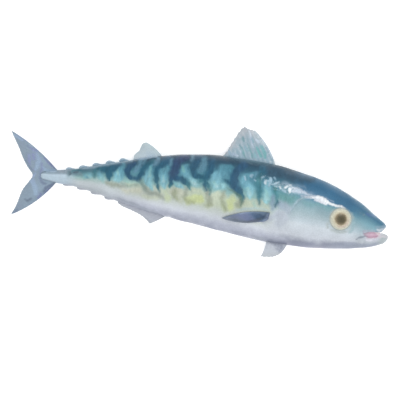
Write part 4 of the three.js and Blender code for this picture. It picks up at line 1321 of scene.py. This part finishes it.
def finSlab(name, spec, foot, outward, material, marks=None):
    # a closed thin slab whose two faces carry the same rays; outward() gives each face's w
    along = np.linspace(0, 1, spec["columns"] + 1)[:, None]
    out = np.linspace(0, 1, spec["rows"] + 1)[None, :]
    along, out = np.broadcast_arrays(along, out)
    feet = foot(along)
    reach = pathAt(spec["tips"], along) - feet
    long = np.maximum(np.linalg.norm(reach, axis=-1), 1e-6)
    onRay = (0.5 + 0.5 * np.cos(2 * np.pi * spec["rays"] * along)) ** 1.5
    grown = out - (1 - onRay) * spec["scallop"] / long * out ** 4
    across = np.stack([reach[..., 1], -reach[..., 0]], -1) / long[..., None]
    bow = spec["bow"][0] * (1 - along) + spec["bow"][1] * along
    bow = bow * np.abs(2 * along - 1) * 4 * out * (1 - out)
    place = feet + reach * grown[..., None] + across * bow[..., None]
    x, v = place[..., 0], place[..., 1]
    sides = [toFrame(x, v, outward(x, v, along, out, onRay, face)).reshape(-1, 3) for face in (1, -1)]
    grid = np.arange(out.size).reshape(out.shape)
    front = np.stack([grid[:-1, :-1], grid[:-1, 1:], grid[1:, 1:], grid[1:, :-1]], -1).reshape(-1, 4)
    rim = np.concatenate([grid[:, 0], grid[-1, 1:], grid[-2::-1, -1], grid[0, -2:0:-1]])
    beside = np.roll(rim, -1)
    edge = np.stack([rim, beside, beside + out.size, rim + out.size], -1)
    faces = np.concatenate([front, front[:, ::-1] + out.size, edge]).tolist()
    onFin = {"finAlong": along, "finOut": out, "onRay": onRay}
    if marks:
        onFin["markEdge"], onFin["markTint"] = strokeField(x, v, marks)
    fields = {key: np.tile(values.ravel(), 2) for key, values in onFin.items()}
    return makePiece(name, np.concatenate(sides), faces, [material], fields)


def inMiddlePlane(spec, sideShift=0.0, splay=0.0):
    def outward(x, v, along, out, onRay, face):
        thick = spec["thickness"][0] * (1 - out) + spec["thickness"][1] * out
        rib = 0.35 + 0.65 * onRay * (1 - out ** 6)
        thick = np.maximum(thick * (1 - spec["ridge"] + spec["ridge"] * rib), 0.12)
        thick = thick * np.sqrt(np.clip((1.02 - out) / 0.06, 0.15, 1))
        wave = spec.get("sway", 0) * out * np.sin(3 * np.pi * along) - spec.get("droop", 0) * out * out
        return face * thick / 2 + wave + sideShift + splay * out

    return outward


def onFlank(spec, side):
    def outward(x, v, along, out, onRay, face):
        stand = spec["stand"][0] * (1 - out) + spec["stand"][1] * out
        stand = stand + spec["ridge"] * (onRay - 0.5) * (1 - out ** 4)
        return side * (flankAt(x, v) + (stand if face * side > 0 else spec["bury"] + 0.3 * out))

    return outward


# Colours of a fin: from root to tip as (share of the way, red, green, blue), at its edges as (place of
# the ray, reach, strength, red, green, blue), on the rays and between them as (strength, red, green, blue).
finSkins = {
    "dorsalFinSkin": {
        "rootToTip": [
            (0, 178, 207, 224), (0.12, 162, 192, 208), (0.3, 150, 180, 195), (0.6, 162, 184, 197),
            (0.85, 178, 190, 199), (1, 190, 195, 201),
        ],
        "edges": [(0, 0.07, 0.8, 214, 226, 232)],
        "ray": (0.35, 204, 216, 224), "hollow": (0.45, 136, 162, 174), "patchSize": 240, "stray": 0.6,
        "patchStrength": 0.2, "patches": [(0.35, 146, 168, 178), (0.5, 168, 184, 195), (0.65, 190, 198, 208)],
        "marks": dorsalMarks,
    },
    "softFinSkin": {
        "rootToTip": [(0, 190, 214, 236), (0.35, 197, 213, 225), (1, 190, 204, 209)],
        "edges": [(0, 0.4, 0.6, 196, 214, 216)],
        "ray": (0.2, 196, 210, 218), "hollow": (0.2, 156, 178, 188), "patchSize": 200, "stray": 0.4,
        "patchStrength": 0.25, "patches": [(0.35, 164, 182, 197), (0.65, 194, 208, 214)],
    },
    "finletSkin": {
        "rootToTip": [(0, 104, 138, 160), (0.4, 134, 164, 184), (0.75, 166, 188, 204), (1, 188, 204, 216)],
        "edges": [],
        "ray": (0.15, 160, 184, 200), "hollow": (0.15, 110, 142, 160), "patchSize": 200, "stray": 0.3,
        "patchStrength": 0.15, "patches": [(0.35, 118, 150, 168), (0.65, 164, 186, 200)],
    },
    "bellyFinSkin": {
        "rootToTip": [(0, 172, 179, 192), (0.35, 190, 195, 208), (0.8, 188, 194, 205), (1, 170, 176, 185)],
        "edges": [(0, 0.1, 0.6, 186, 193, 200)],
        "ray": (0.2, 194, 198, 210), "hollow": (0.2, 158, 164, 178), "patchSize": 200, "stray": 0.3,
        "patchStrength": 0.25, "patches": [(0.35, 168, 174, 190), (0.65, 192, 197, 206)],
    },
    "pelvicFinSkin": {
        "rootToTip": [(0, 160, 166, 181), (0.3, 196, 203, 214), (0.62, 204, 211, 220), (1, 196, 202, 207)],
        "edges": [],
        "ray": (0.15, 208, 214, 222), "hollow": (0.2, 180, 187, 200), "patchSize": 160, "stray": 0.2,
        "patchStrength": 0.15, "patches": [(0.35, 180, 186, 200), (0.65, 208, 214, 222)],
        "marks": pelvicMarks,
    },
    "tailFinSkin": {
        "rootToTip": [
            (0, 176, 194, 208), (0.12, 164, 184, 200), (0.3, 158, 180, 198), (0.6, 148, 168, 186),
            (0.85, 144, 161, 177), (1, 146, 162, 176),
        ],
        "edges": [(0, 0.03, 0.8, 168, 178, 198), (1, 0.03, 0.8, 180, 192, 214)],
        "ray": (0.2, 160, 178, 196), "hollow": (0.15, 138, 154, 174), "patchSize": 110, "stray": 0.35,
        "patchStrength": 0.3, "patches": [(0.36, 138, 150, 176), (0.5, 148, 166, 182), (0.66, 158, 180, 200)],
        "marks": tailMarks,
    },
    "pectoralFinSkin": {
        "rootToTip": [
            (0, 140, 156, 170), (0.06, 108, 128, 146), (0.13, 88, 108, 130), (0.3, 88, 112, 138),
            (0.42, 106, 129, 159), (0.52, 132, 145, 177), (0.66, 133, 144, 176), (0.8, 128, 138, 158),
            (1, 146, 154, 166),
        ],
        "edges": [(0, 0.08, 0.4, 130, 156, 172)],
        "ray": (0.22, 82, 100, 128), "hollow": (0.15, 134, 146, 178), "patchSize": 260, "stray": 0.2,
        "patchStrength": 0.15, "patches": [(0.35, 96, 114, 142), (0.65, 132, 146, 176)],
        "marks": pectoralMarks,
    },
}


def makeFinMaterial(name, values):
    material, tree, shader = newMaterial(name, specular=0.15, coatRoughness=0.2)
    out, onRay, along = field(tree, "finOut"), field(tree, "onRay"), field(tree, "finAlong")
    patches = cloudOf(tree, values["patchSize"], detail=4, shift=4.0)
    fibres = cloudOf(tree, 1500, detail=3, shift=6.0)
    colour = rampOf(tree, nudged(tree, out, patches, values["stray"]), values["rootToTip"])
    # lighter edges: partly the fins' pale edges, partly painted light that lifts the shade on the thin rims
    for place, reach, *tint in values["edges"]:
        offEdge = maths(tree, "SUBTRACT", nudged(tree, along, patches, values["stray"]), place)
        near = remap(tree, maths(tree, "ABSOLUTE", offEdge), reach, 0.0)
        colour = washed(tree, colour, near, *tint)
    broken = remap(tree, cloudOf(tree, values["patchSize"] * 1.6, detail=2, shift=8.0), 0.38, 0.6, 0.1, 1.0)
    ray = times(tree, remap(tree, onRay, 0.2, 0.95), broken)
    colour = washed(tree, colour, ray, *values["ray"])
    hollow = times(tree, remap(tree, onRay, 0.35, 0.0), remap(tree, out, 0.75, 0.45))
    hollow = times(tree, hollow, maths(tree, "SUBTRACT", 1.1, broken, clamp=True))
    colour = washed(tree, colour, hollow, *values["hollow"])
    colour = mixInk(tree, values["patchStrength"], colour, rampOf(tree, patches, values["patches"]))
    if "marks" in values:
        colour = layMarks(tree, colour, "mark", values["marks"], patches, fibres)
    colour = shaded(tree, colour, fibres, 0.2)
    film = useGroup(tree, wetFilm, {"Dry": 0.5, "Wet": 0.34, "Patch Size": 90.0})
    height = maths(tree, "ADD", times(tree, onRay, 0.6), times(tree, fibres, 0.5))
    finishShader(tree, shader, colour, film, height, 0.3, 0.0002)
    return material


finMaterials = {name: makeFinMaterial(name, values) for name, values in finSkins.items()}
finPieces = []


def addFin(name, spec, foot, outward, skinName):
    marks = finSkins[skinName].get("marks")
    finPieces.append(finSlab(name, spec, foot, outward, finMaterials[skinName], marks))
    settle(finPieces[-1], "skin")


for name, spec, line, way, skinName in (
    ("firstDorsalFin", firstDorsal, backAt, 1, "dorsalFinSkin"),
    ("secondDorsalFin", secondDorsal, backAt, 1, "softFinSkin"),
    ("analFin", analFin, bellyAt, -1, "bellyFinSkin"),
):
    addFin(name, spec, alongRoot(line, *spec["root"], way * spec["sink"]), inMiddlePlane(spec), skinName)
addFin("tailFin", tailFin, betweenRoots(*tailFin["root"]), inMiddlePlane(tailFin), "tailFinSkin")
for side, which in ((1, "Right"), (-1, "Left")):
    foot = betweenRoots(*pectoralFin["root"])
    addFin("pectoralFin" + which, pectoralFin, foot, onFlank(pectoralFin, side), "pectoralFinSkin")
    splayed = inMiddlePlane(pelvicFin, side * pelvicFin["apart"], side * pelvicFin["splay"])
    addFin("pelvicFin" + which, pelvicFin, betweenRoots(*pelvicFin["root"]), splayed, "pelvicFinSkin")
for rowName, line, skinName in (("Above", backAt, "finletSkin"), ("Below", bellyAt, "bellyFinSkin")):
    row = finlets[rowName]
    lowest, highest = row["height"]
    for i in range(finlets["count"]):
        x = row["first"] + row["gap"] * i
        tall = row["side"] * (lowest + (highest - lowest) * i / (finlets["count"] - 1))
        edgeX = [x + finlets["length"] * share for share, _ in finlets["edge"]]
        tips = [(tipX, line(tipX) + tall * up) for tipX, (_, up) in zip(edgeX, finlets["edge"])]
        spec = {**finlets["shape"], "tips": tips}
        foot = alongRoot(line, x + finlets["length"], x + 1, row["side"] * finlets["sink"])
        addFin(f"finlet{rowName}{i + 1}", spec, foot, inMiddlePlane(spec), skinName)
print("fins ready:", len(finPieces))

studio = {
    "floor": 6.0, "floorColour": (0.92, 0.92, 0.92, 1), "floorGlow": 0.32, "sky": 0.85,
    "key": {"at": (0.35, 0.85, 1.15), "aim": (0.08, 0.0, 0.0), "size": 0.35, "power": 4.5, "glossy": True},
    "fill": {"at": (0.1, -0.5, 2.2), "aim": (0, 0, 0), "size": 1.6, "power": 22.0, "glossy": False},
    "lens": 600, "sensor": 36, "tilt": 10, "across": 359.6, "centre": (177.6, 6.84), "focusRise": 14,
}


def buildFloor():
    half = studio["floor"] / 2
    corners = np.array([(-half, -half, 0), (half, -half, 0), (half, half, 0), (-half, half, 0)])
    material, tree, shader = newMaterial("paleFloor", specular=0.1)
    shader.inputs["Base Color"].default_value = studio["floorColour"]
    shader.inputs["Roughness"].default_value = 0.9
    shader.inputs["Emission Color"].default_value = (1, 1, 1, 1)
    shader.inputs["Emission Strength"].default_value = studio["floorGlow"]
    floor = makePiece("floor", corners, [(0, 1, 2, 3)], [material])


def addSoftbox(name, spec):
    light = bpy.data.lights.new(name, "AREA")
    light.shape = "SQUARE"
    light.size = spec["size"]
    light.energy = spec["power"]
    lamp = bpy.data.objects.new(name, light)
    bpy.context.scene.collection.objects.link(lamp)
    at, aim = np.array(spec["at"]), np.array(spec["aim"])
    lamp.location = at
    lamp.rotation_euler = Vector(aim - at).to_track_quat("-Z", "Y").to_euler()
    lamp.visible_glossy = spec["glossy"]


def addCamera():
    data = bpy.data.cameras.new("camera")
    data.lens, data.sensor_width = studio["lens"], studio["sensor"]
    camera = bpy.data.objects.new("camera", data)
    bpy.context.scene.collection.objects.link(camera)
    x, v = studio["centre"]
    away = studio["across"] * mm * studio["lens"] / studio["sensor"]
    camera.location = ((x - halfLength) * mm, (v - middleLine) * mm, studio["focusRise"] * mm + away)
    camera.rotation_euler = (0, 0, math.radians(studio["tilt"]))
    bpy.context.scene.camera = camera


buildFloor()
addSoftbox("keySoftbox", studio["key"])
addSoftbox("fillSoftbox", studio["fill"])
world = bpy.data.worlds.new("studio")
bpy.context.scene.world = world
world.use_nodes = True
world.node_tree.nodes["Background"].inputs["Color"].default_value = (1, 1, 1, 1)
world.node_tree.nodes["Background"].inputs["Strength"].default_value = studio["sky"]
bpy.context.scene.view_settings.view_transform = "Standard"
addCamera()
print("studio ready")
